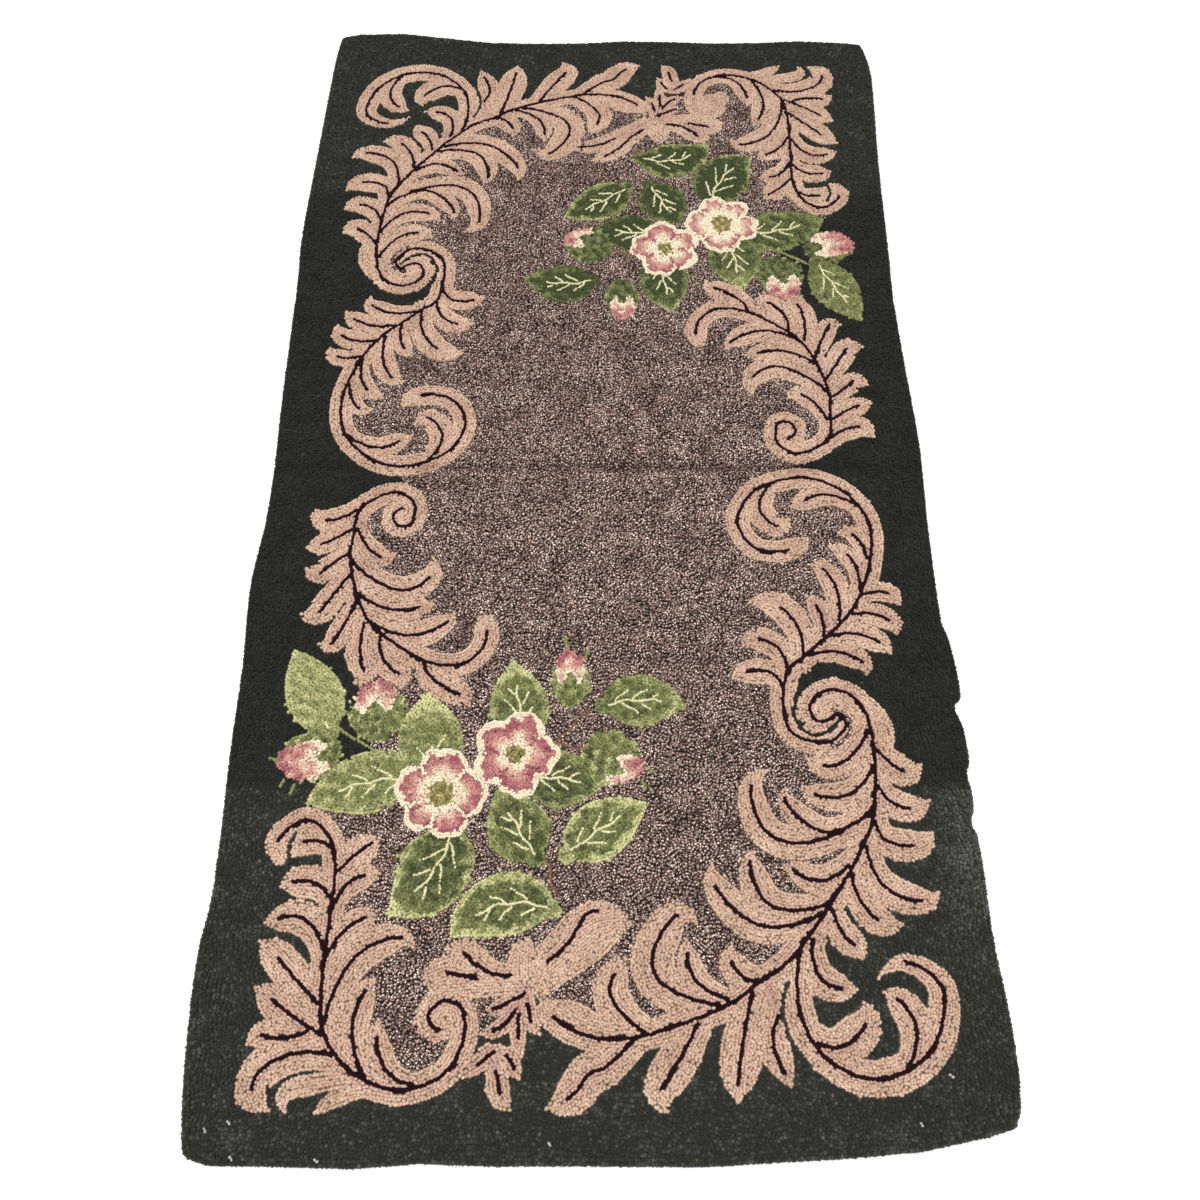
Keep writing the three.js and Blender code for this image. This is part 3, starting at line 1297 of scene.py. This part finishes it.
@dataclass(frozen=True)
class WoolLoops:
    """Spun wool pulled up in loops, unclipped: matt, with a faint halo of fibre that catches light.

    The loop's own colour is in its attribute, whose alpha is the height in the loop: the colour is
    darkened low between its neighbours, painted shade where the yarn lies in their shadow. Fibres
    are about 0.03 mm across, too fine to show, so the
    plies alone are drawn. They are 1.1 mm apart, and the ground's marled ones 1.45 mm, coarser than
    real plies of about 1 mm, so that they show.
    """

    name: str
    ply: float = 1.1
    mottle: float = 0.16
    # low: painted shade, the share of the colour left at a loop's foot between its neighbours
    low: float = 0.72
    sheen: float = 0.12
    bump: float = 0.3
    edge: float = 0.2

    def build(self) -> bpy.types.Material:
        """Makes the material.

        Returns:
            The material.
        """
        material, tree, shader = start_material(
            self.name,
            Roughness=0.93,
            IOR=1.54,
            Specular_IOR_Level=0.15,
            Sheen_Weight=self.sheen,
            Sheen_Roughness=0.55,
        )
        yarn = add_node(tree, "ShaderNodeAttribute", {"attribute_name": "yarn"})
        place = add_node(tree, "ShaderNodeTexCoord")
        spun = {"Scale": 1 / (self.ply * MM), "Detail": 2.0, "Roughness": 0.6}
        plies = add_node(tree, "ShaderNodeTexNoise", spun, Vector=place.outputs["Object"])
        ply_light = {
            "From Min": 0.5 - self.edge,
            "From Max": 0.5 + self.edge,
            "To Min": 1 - self.mottle,
            "To Max": 1 + self.mottle,
        }
        shade = add_node(tree, "ShaderNodeMapRange", ply_light, Value=plies.outputs["Fac"])
        # painted shade: the colour darkens from the crown down to the foot, by the alpha's height
        painted_foot_shade = {"From Min": 0.35, "From Max": 0.85, "To Min": self.low, "To Max": 1.0}
        depth = add_node(tree, "ShaderNodeMapRange", painted_foot_shade, Value=yarn.outputs["Alpha"])
        both = add_node(
            tree,
            "ShaderNodeMath",
            {"operation": "MULTIPLY"},
            in0=shade.outputs["Result"],
            in1=depth.outputs["Result"],
        )
        colour = add_node(
            tree,
            "ShaderNodeVectorMath",
            {"operation": "SCALE"},
            in0=yarn.outputs["Color"],
            Scale=both.outputs["Value"],
        )
        raised = {"Strength": self.bump, "Distance": 0.4 * MM}
        relief = add_node(tree, "ShaderNodeBump", raised, Height=plies.outputs["Fac"])
        tree.links.new(colour.outputs["Vector"], shader.inputs["Base Color"])
        tree.links.new(relief.outputs["Normal"], shader.inputs["Normal"])
        return material


@dataclass(frozen=True)
class Burlap:
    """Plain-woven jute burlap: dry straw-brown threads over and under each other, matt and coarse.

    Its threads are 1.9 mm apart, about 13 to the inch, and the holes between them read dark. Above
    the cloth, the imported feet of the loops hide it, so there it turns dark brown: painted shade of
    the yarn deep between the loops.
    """

    name: str = "burlap_plain_woven"
    thread: float = 1.9
    band: float = 0.314  # how wide one band of the wave texture is at scale 1
    # painted shade: over these heights the burlap turns to the dark brown of shaded yarn
    cloth_top: tuple[float, float] = (2.2, 3.2)  # over which heights the feet take over

    def build(self) -> bpy.types.Material:
        """Makes the material.

        Returns:
            The material.
        """
        material, tree, shader = start_material(
            self.name, Roughness=0.95, Specular_IOR_Level=0.2, Sheen_Weight=0.1
        )
        place = add_node(tree, "ShaderNodeTexCoord").outputs["Object"]
        scale = self.band / (self.thread * MM)
        threads = {"wave_type": "BANDS", "Scale": scale, "Distortion": 0.6, "Detail": 2.0}
        warp, weft = (
            add_node(tree, "ShaderNodeTexWave", threads | {"bands_direction": way}, Vector=place)
            for way in ("X", "Y")
        )
        cross = add_node(
            tree,
            "ShaderNodeMath",
            {"operation": "MAXIMUM"},
            in0=warp.outputs["Fac"],
            in1=weft.outputs["Fac"],
        )
        stain = add_node(tree, "ShaderNodeTexNoise", {"Scale": 9.0, "Detail": 4.0}, Vector=place)
        mix = add_node(
            tree,
            "ShaderNodeMath",
            {"operation": "MULTIPLY"},
            in0=cross.outputs["Value"],
            in1=stain.outputs["Fac"],
        )
        ramp = add_node(tree, "ShaderNodeValToRGB", Fac=mix.outputs["Value"])
        hole, thread = ramp.color_ramp.elements
        hole.position, thread.position = 0.1, 0.6
        hole.color = (*linear_colour("#3a2c1e"), 1)
        thread.color = (*linear_colour("#a98d67"), 1)
        raised = {"Strength": 0.5, "Distance": 0.4 * MM}
        relief = add_node(tree, "ShaderNodeBump", raised, Height=cross.outputs["Value"])
        height = add_node(tree, "ShaderNodeSeparateXYZ", Vector=place)
        low, high = self.cloth_top
        span = {"From Min": low * MM, "From Max": high * MM}
        packed = add_node(tree, "ShaderNodeMapRange", span, Value=height.outputs["Z"])
        pile_bed_shade = add_node(tree, "ShaderNodeMix", {"data_type": "RGBA"}, Factor=packed.outputs["Result"])
        below, above, mixed = pile_bed_shade.inputs[6], pile_bed_shade.inputs[7], pile_bed_shade.outputs[2]
        # painted shade: the dark brown of yarn in shadow between the loops
        above.default_value = (*linear_colour("#3a2923"), 1)
        tree.links.new(ramp.outputs["Color"], below)
        tree.links.new(mixed, shader.inputs["Base Color"])
        tree.links.new(relief.outputs["Normal"], shader.inputs["Normal"])
        return material


@dataclass(frozen=True)
class StudioPaper:
    """Matt white backdrop paper: an even, pale floor with no grain to draw the eye."""

    name: str = "studio_paper_matt"

    def build(self) -> bpy.types.Material:
        """Makes the material.

        Returns:
            The material.
        """
        pale = (*linear_colour("#f6f6f5"), 1)
        return start_material(self.name, Base_Color=pale, Roughness=0.9, Specular_IOR_Level=0.2)[0]


class YarnSlot(Enum):
    """The record's slots for the yarns."""

    BORDER = "border_wool"
    GROUND = "hooked_wool"
    SCROLL = "scroll_wool"
    VEIN = "vein_wool"
    LEAF = "leaf_wool"
    ROSE = "rose_wool"

    def finish(self) -> bpy.types.Material:
        """The yarn's material, made once.

        Returns:
            The material.
        """
        name = f"{self.value}_spun_and_hooked"
        return bpy.data.materials.get(name) or WoolLoops(name, **YARNS.get(self, {})).build()


# How each yarn's loops differ from plain ones; low is the painted shade at a loop's foot
YARNS = {
    YarnSlot.GROUND: {"ply": 1.45, "mottle": 0.96, "low": 0.12, "sheen": 0.03, "edge": 0.05},
    YarnSlot.BORDER: {"mottle": 0.25, "low": 0.75, "sheen": 0.06},
    YarnSlot.VEIN: {"mottle": 0.2, "low": 0.7, "sheen": 0.02},
    YarnSlot.SCROLL: {"mottle": 0.14, "low": 0.57},
}


# Meshes


def add_object(name: str, data: bpy.types.ID) -> bpy.types.Object:
    """Makes an object of a mesh, a camera or a light, and puts it in the scene.

    Args:
        name: its name.
        data: what it shows.

    Returns:
        The object.
    """
    made = bpy.data.objects.new(name, data)
    bpy.context.scene.collection.objects.link(made)
    return made


def make_piece(
    name: str, points: Array, faces: Array, material: bpy.types.Material
) -> bpy.types.Object:
    """Makes a smooth-shaded object from whole arrays, riding on the rug's body.

    Args:
        name: the piece's name.
        points: its vertices, in metres.
        faces: the vertices of each face, outward.
        material: its finish.

    Returns:
        The object.
    """
    mesh = bpy.data.meshes.new(name)
    mesh.from_pydata(points, [], faces)
    mesh.polygons.foreach_set("use_smooth", np.ones(len(mesh.polygons), bool))
    mesh.materials.append(material)
    mesh.update()
    piece = add_object(name, mesh)
    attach(piece, "root")
    log.info("%s: %d triangles", name, len(faces))
    return piece


@dataclass
class Foundation:
    """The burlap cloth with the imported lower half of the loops, and its edge turned under."""

    cloth: Cloth
    corners: int = 300
    sink: float = 3.6
    hem: float = 32.0
    hem_edge: float = 0.8
    hem_rise: float = 0.7

    def build(self, pile_pieces: list[bpy.types.Object]) -> bpy.types.Object:
        """Makes the closed slab: a profile carried round the outline, closed at two poles.

        Each row of the profile is the outline drawn in by an inset, as a share of each half side,
        and then by a share towards the middle. Its height is the pile's less the sink above,
        and the floor or the hem's rise below.

        Args:
            pile_pieces: the loops that stand on it; not used.

        Returns:
            The object.
        """
        run = run_of(self.cloth.ring)
        along = np.linspace(0, run[-1], self.corners, endpoint=False)
        ring = places_at(along, run, self.cloth.ring)
        half = np.abs(ring).max(0)
        # Each row: its inset, its share of the way out, and its height, or None for the pile's
        top = [(6.0, s, None) for s in (0.0, 0.15, 0.3, 0.45, 0.6, 0.75, 0.88, 0.96, 1.0)]
        rim = [(3.0, 1.0, None), (1.8, 1.0, 3.6), (1.4, 1.0, 2.2), (1.8, 1.0, 0.5), (2.6, 1.0, 0.0)]
        inner = self.hem + self.hem_edge
        under = [(self.hem, 1.0, 0.0)]
        under += [(inner, s, self.hem_rise) for s in (1.0, 0.85, 0.6, 0.35, 0.0)]
        rows = []
        for inset, share, level in top + rim + under:
            x, y = (ring * (1 - inset / half) * share).T
            pile = self.cloth.height(x, y, np.full(len(x), inset)) - self.sink
            rows.append(np.stack([x, y, pile if level is None else np.full(len(x), level)], axis=1))
        first, last = rows[0].mean(0), rows[-1].mean(0)
        points = np.vstack([first, *rows[1:-1], last])
        count = len(rows) - 2
        column = np.arange(self.corners)
        after = (column + 1) % self.corners
        fan = np.stack([np.zeros_like(column), 1 + column, 1 + after], axis=1)
        base = 1 + np.arange(count - 1)[:, None] * self.corners
        a, b = base + column, base + after
        c, d = b + self.corners, a + self.corners
        quads = [np.stack([a, d, c], -1).reshape(-1, 3), np.stack([a, c, b], -1).reshape(-1, 3)]
        end = 1 + (count - 1) * self.corners
        close = np.stack([np.full_like(column, len(points) - 1), end + after, end + column], axis=1)
        faces = np.vstack([fan, *quads, close])
        piece = make_piece("burlap_foundation", points * MM, faces, Burlap().build())
        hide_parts("rug")
        return piece


@dataclass
class LoopPile:
    """The hooked pile: plans the design, hooks every loop and makes the loops' meshes."""

    cloth: Cloth
    crown: float = 1.3  # the length of a loop's crown
    stand: float = 3.4  # how far the crown stands over the loop's feet
    proud: float = 0.7  # how far veins and fluff stand over the rest
    seed: int = 27
    bare_edge: float = 1.7  # how near the outline no loop is hooked
    edge_rows: tuple[float, float] = (2.3, 5.6)  # how far in the edge's two rows lie
    edge_step: float = 3.2  # the spacing along them
    edge_room: float = 2.9  # the least room about their loops
    mitre: float = 361.0
    end_from: float = 560.0  # where the border's end pieces start, from the middle
    bleed_tint: tuple[float, float, float] = (0.88, 0.78, 0.9)  # a vein's dye on the yarn beside it

    def plan(self) -> Canvas:
        """Marks what every cell of the rug is hooked as.

        Returns:
            The canvas.
        """
        canvas = Canvas()
        on_rug = canvas.inside(self.cloth.outline)
        divider = np.vstack([self.divider(half) for half in HALVES])
        in_ground = canvas.inside(Line.through(np.vstack([divider, divider[:1]]), 3.0).points)
        canvas.part[:] = np.where(in_ground, int(Part.GROUND), int(Part.BORDER))
        for motif in (*map(Scroll, HALVES), *map(Bouquet, HALVES)):
            motif.paint(canvas)
        canvas.part[~on_rug] = Part.OFF
        row, column, _, _, _ = canvas.near(self.cloth.edge(), self.bare_edge)
        canvas.part[row, column] = Part.OFF
        return canvas

    @staticmethod
    def divider(half: Half) -> Array:
        """The line between border and ground in one half: along the spines, and past the buds.

        Args:
            half: the half.

        Returns:
            Its places, in order.
        """
        knots = [
            *SPINE_C.path[6:12], *BY_THE_VOLUTE, *BY_THE_BUDS, *SPINE_D.path[10:3:-1], *BY_THE_KNOT,
            *SPINE_A.path[:1:-1], *SPINE_B.path[3:13], *BY_THE_MIDDLE,
        ]
        return half.place(knots)

    def hook_all(self, canvas: Canvas) -> dict[str, Array]:
        """Hooks the loops in a maker's order: veins, outlines, edge, motifs, ground and border.

        Args:
            canvas: what each cell is hooked as.

        Returns:
            The loops.
        """
        pile = Pile(canvas)
        near, _ = HALVES
        for shift in (0.0, 2.6):
            fluff = near.place(LINT) + shift * np.array([-0.6, 0.8])
            pile.hook(fluff, 2.2, HANDS[Part.LINT].room, Part.LINT)
        motifs = (*map(Bouquet, HALVES), *map(Scroll, HALVES))
        for motif in motifs:
            motif.hook_veins(pile)
        for motif in motifs:
            motif.hook_rows(pile)
        self.hook_edge(pile)
        self.hook_border(pile)
        self.hook_ground(pile)
        self.fill(pile)
        return pile.gather()

    def hook_edge(self, pile: Pile) -> None:
        """Hooks two rows along the outline.

        Args:
            pile: the loops so far.
        """
        edge = self.cloth.edge()
        for inset in self.edge_rows:
            along = np.arange(0, edge.length - 3, self.edge_step)
            pile.hook(*edge.beside(along, inset), self.edge_room)

    @staticmethod
    def lattice(hand: Hand, lengthwise: bool) -> tuple[Array, Array]:
        """Straight rows of loops over the whole rug, every other row half a loop on.

        Args:
            hand: the spacing.
            lengthwise: whether the rows run along the rug.

        Returns:
            Places and headings.
        """
        sides, ends = 430, 800  # how far out the rows reach
        long, wide = (ends, sides) if lengthwise else (sides, ends)
        a = np.arange(-long, long, hand.along)
        b = np.arange(-wide, wide, hand.rows)
        run, row = np.meshgrid(a, b)
        run = run + (np.arange(len(b))[:, None] % 2) * hand.along / 2
        places = np.stack([row, run] if lengthwise else [run, row], axis=-1).reshape(-1, 2)
        return places, np.full(len(places), math.pi / 2 if lengthwise else 0.0)

    @staticmethod
    def wander(places: Array, heading: Array, size: float, sway: float, seed: int) -> tuple[Array, Array]:
        """Bends straight rows into curls by sliding them past each other in three directions.

        Each slide moves a place along one direction by a sine of its distance across it, which
        keeps the loops' density, and turns the heading with it.

        Args:
            places: places of the loops.
            heading: the rows' headings.
            size: the length of a curl.
            sway: how far a slide goes.
            seed: picks the phases.

        Returns:
            New places and headings.
        """
        pick = np.random.default_rng(seed)
        way = np.stack([np.cos(heading), np.sin(heading)], axis=1)
        for turn in (0.3, 1.9, 1.1, 2.6):
            along = np.array([math.cos(turn), math.sin(turn)])
            across = np.array([-along[1], along[0]])
            pace = 2 * math.pi / (size * (0.8 + 0.5 * pick.random()))
            phase = 2 * math.pi * pick.random() + 1.3 * np.sin(places @ along * pace * 0.37)
            angle = places @ across * pace + phase
            places = places + np.outer(sway * np.sin(angle), along)
            slope = sway * pace * np.cos(angle) * (way @ across)
            way = way + slope[:, None] * along
        return places, np.arctan2(way[:, 1], way[:, 0])

    def hook_border(self, pile: Pile) -> None:
        """Hooks the border in straight rows: along the sides, and across both ends.

        The rows turn where a place is farther out along the rug than across it by the mitre.

        Args:
            pile: the loops so far.
        """
        hand = HANDS[Part.BORDER]
        for lengthwise in (True, False):
            straight = self.lattice(hand, lengthwise)
            places, heading = self.wander(*straight, size=45, sway=1.6, seed=3)
            at_end = np.abs(places[:, 1]) > self.mitre + np.abs(places[:, 0])
            mine = at_end != lengthwise
            pile.hook(places[mine], heading[mine], hand.room, on=(Part.BORDER,))

    def hook_ground(self, pile: Pile) -> None:
        """Hooks the ground in rows that curl about each other.

        Args:
            pile: the loops so far.
        """
        hand = HANDS[Part.GROUND]
        curled = self.wander(*self.lattice(hand, False), size=46, sway=3.2, seed=8)
        pile.hook(*curled, hand.room, on=(Part.GROUND,))

    def fill(self, pile: Pile) -> None:
        """Fills what is left: loose coarse grids in turn, then even ones, then those set closer.

        Args:
            pile: the loops so far.
        """
        pick = np.random.default_rng(self.seed)
        spacing, sway, room = 5.6, 1.25, 2.75
        rounds, cuts = 40, 5  # of loose grids, and into which an even grid's spacing is cut
        inner = tuple(part for part in Part if part not in (Part.OFF, Part.BORDER))
        x, y = np.meshgrid(np.arange(-425, 425, spacing), np.arange(-790, 790, spacing))
        shifts = pick.permutation(cuts**2)
        steps = [(spacing * (k % cuts) / cuts, spacing * (k // cuts) / cuts) for k in shifts]
        loose = [(sway, *(pick.random(2) * spacing), False) for _ in range(rounds)]
        steady = [(0.0, *step, False) for step in steps]
        close = [(0.0, *step, True) for step in steps]
        for stray, right, up, squeeze in loose + steady + close:
            places = np.stack([x + right, y + up], axis=-1)
            places = (places + pick.uniform(-stray, stray, places.shape)).reshape(-1, 2)
            heading = pile.canvas.heading[pile.canvas.cells(places)]
            pile.hook(places, heading, room, on=inner, squeeze=squeeze)
            pile.hook(places, heading, HANDS[Part.BORDER].room, on=(Part.BORDER,))

    def edge_inset(self, places: Array) -> Array:
        """How far in from the outline places lie, up to 12 mm.

        Args:
            places: places in the rug's frame.

        Returns:
            The distances.
        """
        canvas = Canvas()
        most = 12.0
        inset = np.full(canvas.part.shape, most)
        row, column, gap, _, _ = canvas.near(self.cloth.edge(), most)
        inset[row, column] = gap
        row, column = canvas.cells(places)
        return inset[row, column]

    def tones(self, loops: dict[str, Array], canvas: Canvas) -> Array:
        """Each loop's tone along its yarn's ramp, with the dye's unevenness, the rug's wear and dust, and
        painted shade: along the creases, and darker towards the ground's far end.

        Args:
            loops: the loops.
            canvas: what each cell is hooked as.

        Returns:
            Tones, from 0 to 1.
        """
        pick = np.random.default_rng(self.seed + 1)
        x, y = loops["place"].T
        part = loops["part"]
        own = canvas.tone[canvas.cells(loops["place"])].astype(float)
        jitter = pick.normal(0, 1, len(x))
        speck = pick.random(len(x)) < 0.004
        # painted shade: the pile darkened along the creases
        painted_crease_shade = sum(s.strength * np.exp(-(((y - s.at) / s.spread) ** 2)) for s in SHADES)
        middle, start, fade = DUSTY_ENDS
        ends = np.clip((np.abs(y - middle) - start) / fade, 0, 1)
        spot = BY_THE_NICKS
        worn = np.exp(-(((x - spot.x) / spot.across) ** 2) - ((y - spot.y) / spot.along) ** 2)
        wear_and_painted_shade = {
            Part.BORDER: (0.28 - 0.03 * np.sign(y)) * ends + 0.22 * worn + 0.25 * speck,
            # painted shade: the ground darker towards the far end, where less light falls
            Part.GROUND: -0.05 * np.clip(y / 300, 0, 1),
            Part.SCROLL: 0.0,
        }
        tone = 0.5 + 0.1 * jitter
        motif = np.isin(part, (Part.LEAF, Part.PETAL, Part.EYE))
        tone[motif] = (own + 0.07 * jitter)[motif]
        for yarn, dye in DYES.items():
            shade = dye.middle + dye.cloudy * cloud(x, y, dye.size, dye.seed) + dye.jitter * jitter
            tone = np.where(part == yarn, shade + wear_and_painted_shade[yarn], tone)
        return np.clip(tone - 0.16 * painted_crease_shade, 0, 1)

    def vertex_tones(self, tone: Array, part: Array) -> Array:
        """Tones of a loop's six vertices. Ground yarn is marled: one ply pale, the other dark. The feet
        of ground loops, and less so of stalks, are darker: painted shade low between the loops.

        Args:
            tone: each loop's tone.
            part: what each is hooked as.

        Returns:
            Six tones a loop: the four corners at its foot, then the two ends of its crown.
        """
        pick = np.random.default_rng(self.seed + 2)
        tones = np.repeat(tone[:, None], 6, axis=1)
        tones += pick.normal(0, 0.03, tones.shape)
        marl_and_foot_shade = np.where(pick.random((len(tone), 6)) < 0.5, 0.2, -0.17)
        marl_and_foot_shade[:, 5] = np.where(pick.random(len(tone)) < 0.7, -marl_and_foot_shade[:, 4], marl_and_foot_shade[:, 4])
        # painted shade: the four feet darker than the crown
        marl_and_foot_shade[:, :4] = -0.12
        tones += np.where((part == Part.GROUND)[:, None], marl_and_foot_shade, 0)
        tones += np.where((part == Part.STALK)[:, None], 0.4 * marl_and_foot_shade, 0)
        return np.clip(tones, 0, 1)

    @staticmethod
    def by_part(column: str) -> Array:
        """A column of the table of hands, with one value for each part and 0 off the rug."""
        return np.array([getattr(HANDS[part], column) if part in HANDS else 0.0 for part in Part])

    def loop_mesh(self, loops: dict[str, Array]) -> tuple[Array, Array]:
        """The loops' vertices: each is a closed wedge of four feet and a crown along its row.

        Args:
            loops: the loops.

        Returns:
            Vertices, six a loop, in metres, and the share of the height that each stands at.
        """
        pick = np.random.default_rng(self.seed + 3)
        count = len(loops["heading"])
        size = pick.uniform(0.93, 1.07, (count, 1)) * self.by_part("foot")[loops["part"], None] / 2
        along = np.array([-1, 1, 1, -1, 0, 0]) * size
        along[:, 4:] = np.array([-1, 1]) * self.crown / 2
        across = np.array([-1, -1, 1, 1, 0, 0]) * size
        across[:, 4:] += pick.normal(0, 0.22, (count, 2))
        heading = loops["heading"] + pick.normal(0, 0.45, count)
        cos, sin = np.cos(heading)[:, None], np.sin(heading)[:, None]
        inset = self.edge_inset(loops["place"])
        stray = np.where(inset > 4, self.by_part("stray")[loops["part"]], 0.1)[:, None]
        middle = loops["place"] + pick.normal(0, 1, (count, 2)) * stray
        x = middle[:, :1] + along * cos - across * sin
        y = middle[:, 1:] + along * sin + across * cos
        top = self.cloth.height(middle[:, 0], middle[:, 1], inset + 1.2)[:, None]
        line = np.isin(loops["part"], (Part.VEIN, Part.LINT))[:, None]
        top = top + pick.normal(-0.15, 0.22, (count, 1)) + pick.normal(0, 0.12, (count, 6))
        top = top + self.proud * line
        in_foot = np.arange(6) < 4
        z = np.where(in_foot, np.maximum(top - self.stand, 0.4), top)
        share = np.broadcast_to(np.where(in_foot, 0.0, 1.0), z.shape)
        return np.stack([x, y, z], axis=-1) * MM, share

    def build(self) -> list[bpy.types.Object]:
        """Makes the pile's pieces, one for each yarn and stretch of the rug.

        Returns:
            The pieces.
        """
        canvas = self.plan()
        loops = self.hook_all(canvas)
        tone = self.vertex_tones(self.tones(loops, canvas), loops["part"])
        points, share = self.loop_mesh(loops)
        colours = np.zeros((*tone.shape, 4))
        for part, ramp in RAMPS.items():
            mine = loops["part"] == part
            colours[mine, :, :3] = ramp_colour(ramp, tone[mine])
        bleed = np.where(loops["part"] == Part.SCROLL, canvas.bleed[canvas.cells(loops["place"])], 0)
        colours[..., :3] *= 1 - bleed[:, None, None] * (1 - np.array(self.bleed_tint))
        # the alpha is the height in the loop, which the material turns to painted shade at the foot
        colours[..., 3] = share
        log.info("loops: %d", len(points))
        x, y = loops["place"].T
        part = loops["part"]
        near = y < 0
        border = np.isin(part, (Part.BORDER, Part.LINT))
        green = np.isin(part, (Part.LEAF, Part.LEAF_VEIN, Part.STALK))
        rosy = np.isin(part, (Part.PETAL, Part.EYE))
        end = np.abs(y) > self.end_from
        stretches = (
            ("border_pile_near_end", border & end & near, YarnSlot.BORDER),
            ("border_pile_far_end", border & end & ~near, YarnSlot.BORDER),
            ("border_pile_left", border & ~end & (x < 0), YarnSlot.BORDER),
            ("border_pile_right", border & ~end & (x > 0), YarnSlot.BORDER),
            ("ground_pile_near", (part == Part.GROUND) & near, YarnSlot.GROUND),
            ("ground_pile_far", (part == Part.GROUND) & ~near, YarnSlot.GROUND),
            ("scroll_pile_near", (part == Part.SCROLL) & near, YarnSlot.SCROLL),
            ("scroll_pile_far", (part == Part.SCROLL) & ~near, YarnSlot.SCROLL),
            ("scroll_veins", part == Part.VEIN, YarnSlot.VEIN),
            ("leaves_and_stems", green, YarnSlot.LEAF),
            ("roses_and_buds", rosy, YarnSlot.ROSE),
        )
        return [
            self.make_stretch(name, points[mine], colours[mine], slot) for name, mine, slot in stretches
        ]

    @staticmethod
    def make_stretch(name: str, points: Array, colours: Array, slot: YarnSlot) -> bpy.types.Object:
        """Joins a stretch's loops into one piece with its colours and its bake map.

        Args:
            name: the piece's name.
            points: six vertices a loop.
            colours: one a vertex.
            slot: the yarn's finish and slot.

        Returns:
            The piece.
        """
        wedge = np.array(
            [[0, 3, 2], [0, 2, 1], [0, 1, 5], [0, 5, 4], [2, 3, 4], [2, 4, 5], [1, 2, 5], [3, 0, 4]]
        )
        faces = (wedge + 6 * np.arange(len(points))[:, None, None]).reshape(-1, 3)
        vertices = points.reshape(-1, 3)
        piece = make_piece(name, vertices, faces, slot.finish())
        mesh = piece.data
        mesh.attributes.new("yarn", "FLOAT_COLOR", "POINT")
        mesh.attributes["yarn"].data.foreach_set("color", colours.astype(np.float32).ravel())
        low, high = vertices[:, :2].min(0), vertices[:, :2].max(0)
        chart = (vertices[faces.ravel(), :2] - low) / (high - low).max()
        mesh.uv_layers.new(name="OFBake")
        mesh.uv_layers["OFBake"].uv.foreach_set("vector", chart.astype(np.float32).ravel())
        return piece


@dataclass
class Studio:
    """The floor, the soft lights and the camera, which stands over the near end."""

    floor: float = 9.0
    camera_at: tuple[float, float, float] = (0.002, -0.687, 1.1365)
    pitch: float = 66.14
    lens: float = 31.2
    sensor: float = 36.0
    sky: float = 0.75

    def build(self) -> None:
        """Sets it all up."""
        half = self.floor / 2
        mesh = bpy.data.meshes.new("floor")
        corners = [(-half, -half, 0), (half, -half, 0), (half, half, 0), (-half, half, 0)]
        mesh.from_pydata(corners, [], [(0, 1, 2, 3)])
        mesh.materials.append(StudioPaper().build())
        floor = add_object("floor", mesh)
        data = bpy.data.cameras.new("camera")
        data.lens = self.lens
        data.sensor_width = self.sensor
        camera = add_object("camera", data)
        camera.location = self.camera_at
        camera.rotation_euler = (math.radians(90 - self.pitch), 0, 0)
        bpy.context.scene.camera = camera
        for name, place, size, power in (
            ("softbox_over", (-0.5, -0.3, 2.7), 2.4, 62),
            ("softbox_side", (2.2, -0.6, 2.0), 1.8, 22),
        ):
            light = bpy.data.lights.new(name, "AREA")
            light.shape = "SQUARE"
            light.size = size
            light.energy = power
            lamp = add_object(name, light)
            lamp.location = place
            lamp.rotation_mode = "QUATERNION"
            lamp.rotation_quaternion = lamp.location.to_track_quat("Z", "Y")
        world = bpy.data.worlds.new("studio")
        world.use_nodes = True
        background = world.node_tree.nodes["Background"]
        background.inputs["Color"].default_value = (1, 1, 1, 1)
        background.inputs["Strength"].default_value = self.sky
        bpy.context.scene.world = world
        bpy.context.scene.view_settings.view_transform = "Standard"


def main() -> None:
    """Builds the pile, the foundation under it and the studio, in that order."""
    logging.basicConfig(level=logging.INFO, format="%(message)s")
    cloth = Cloth.from_frame()
    pile_pieces = LoopPile(cloth).build()
    Foundation(cloth).build(pile_pieces)
    Studio().build()


if __name__ == "__main__":
    main()
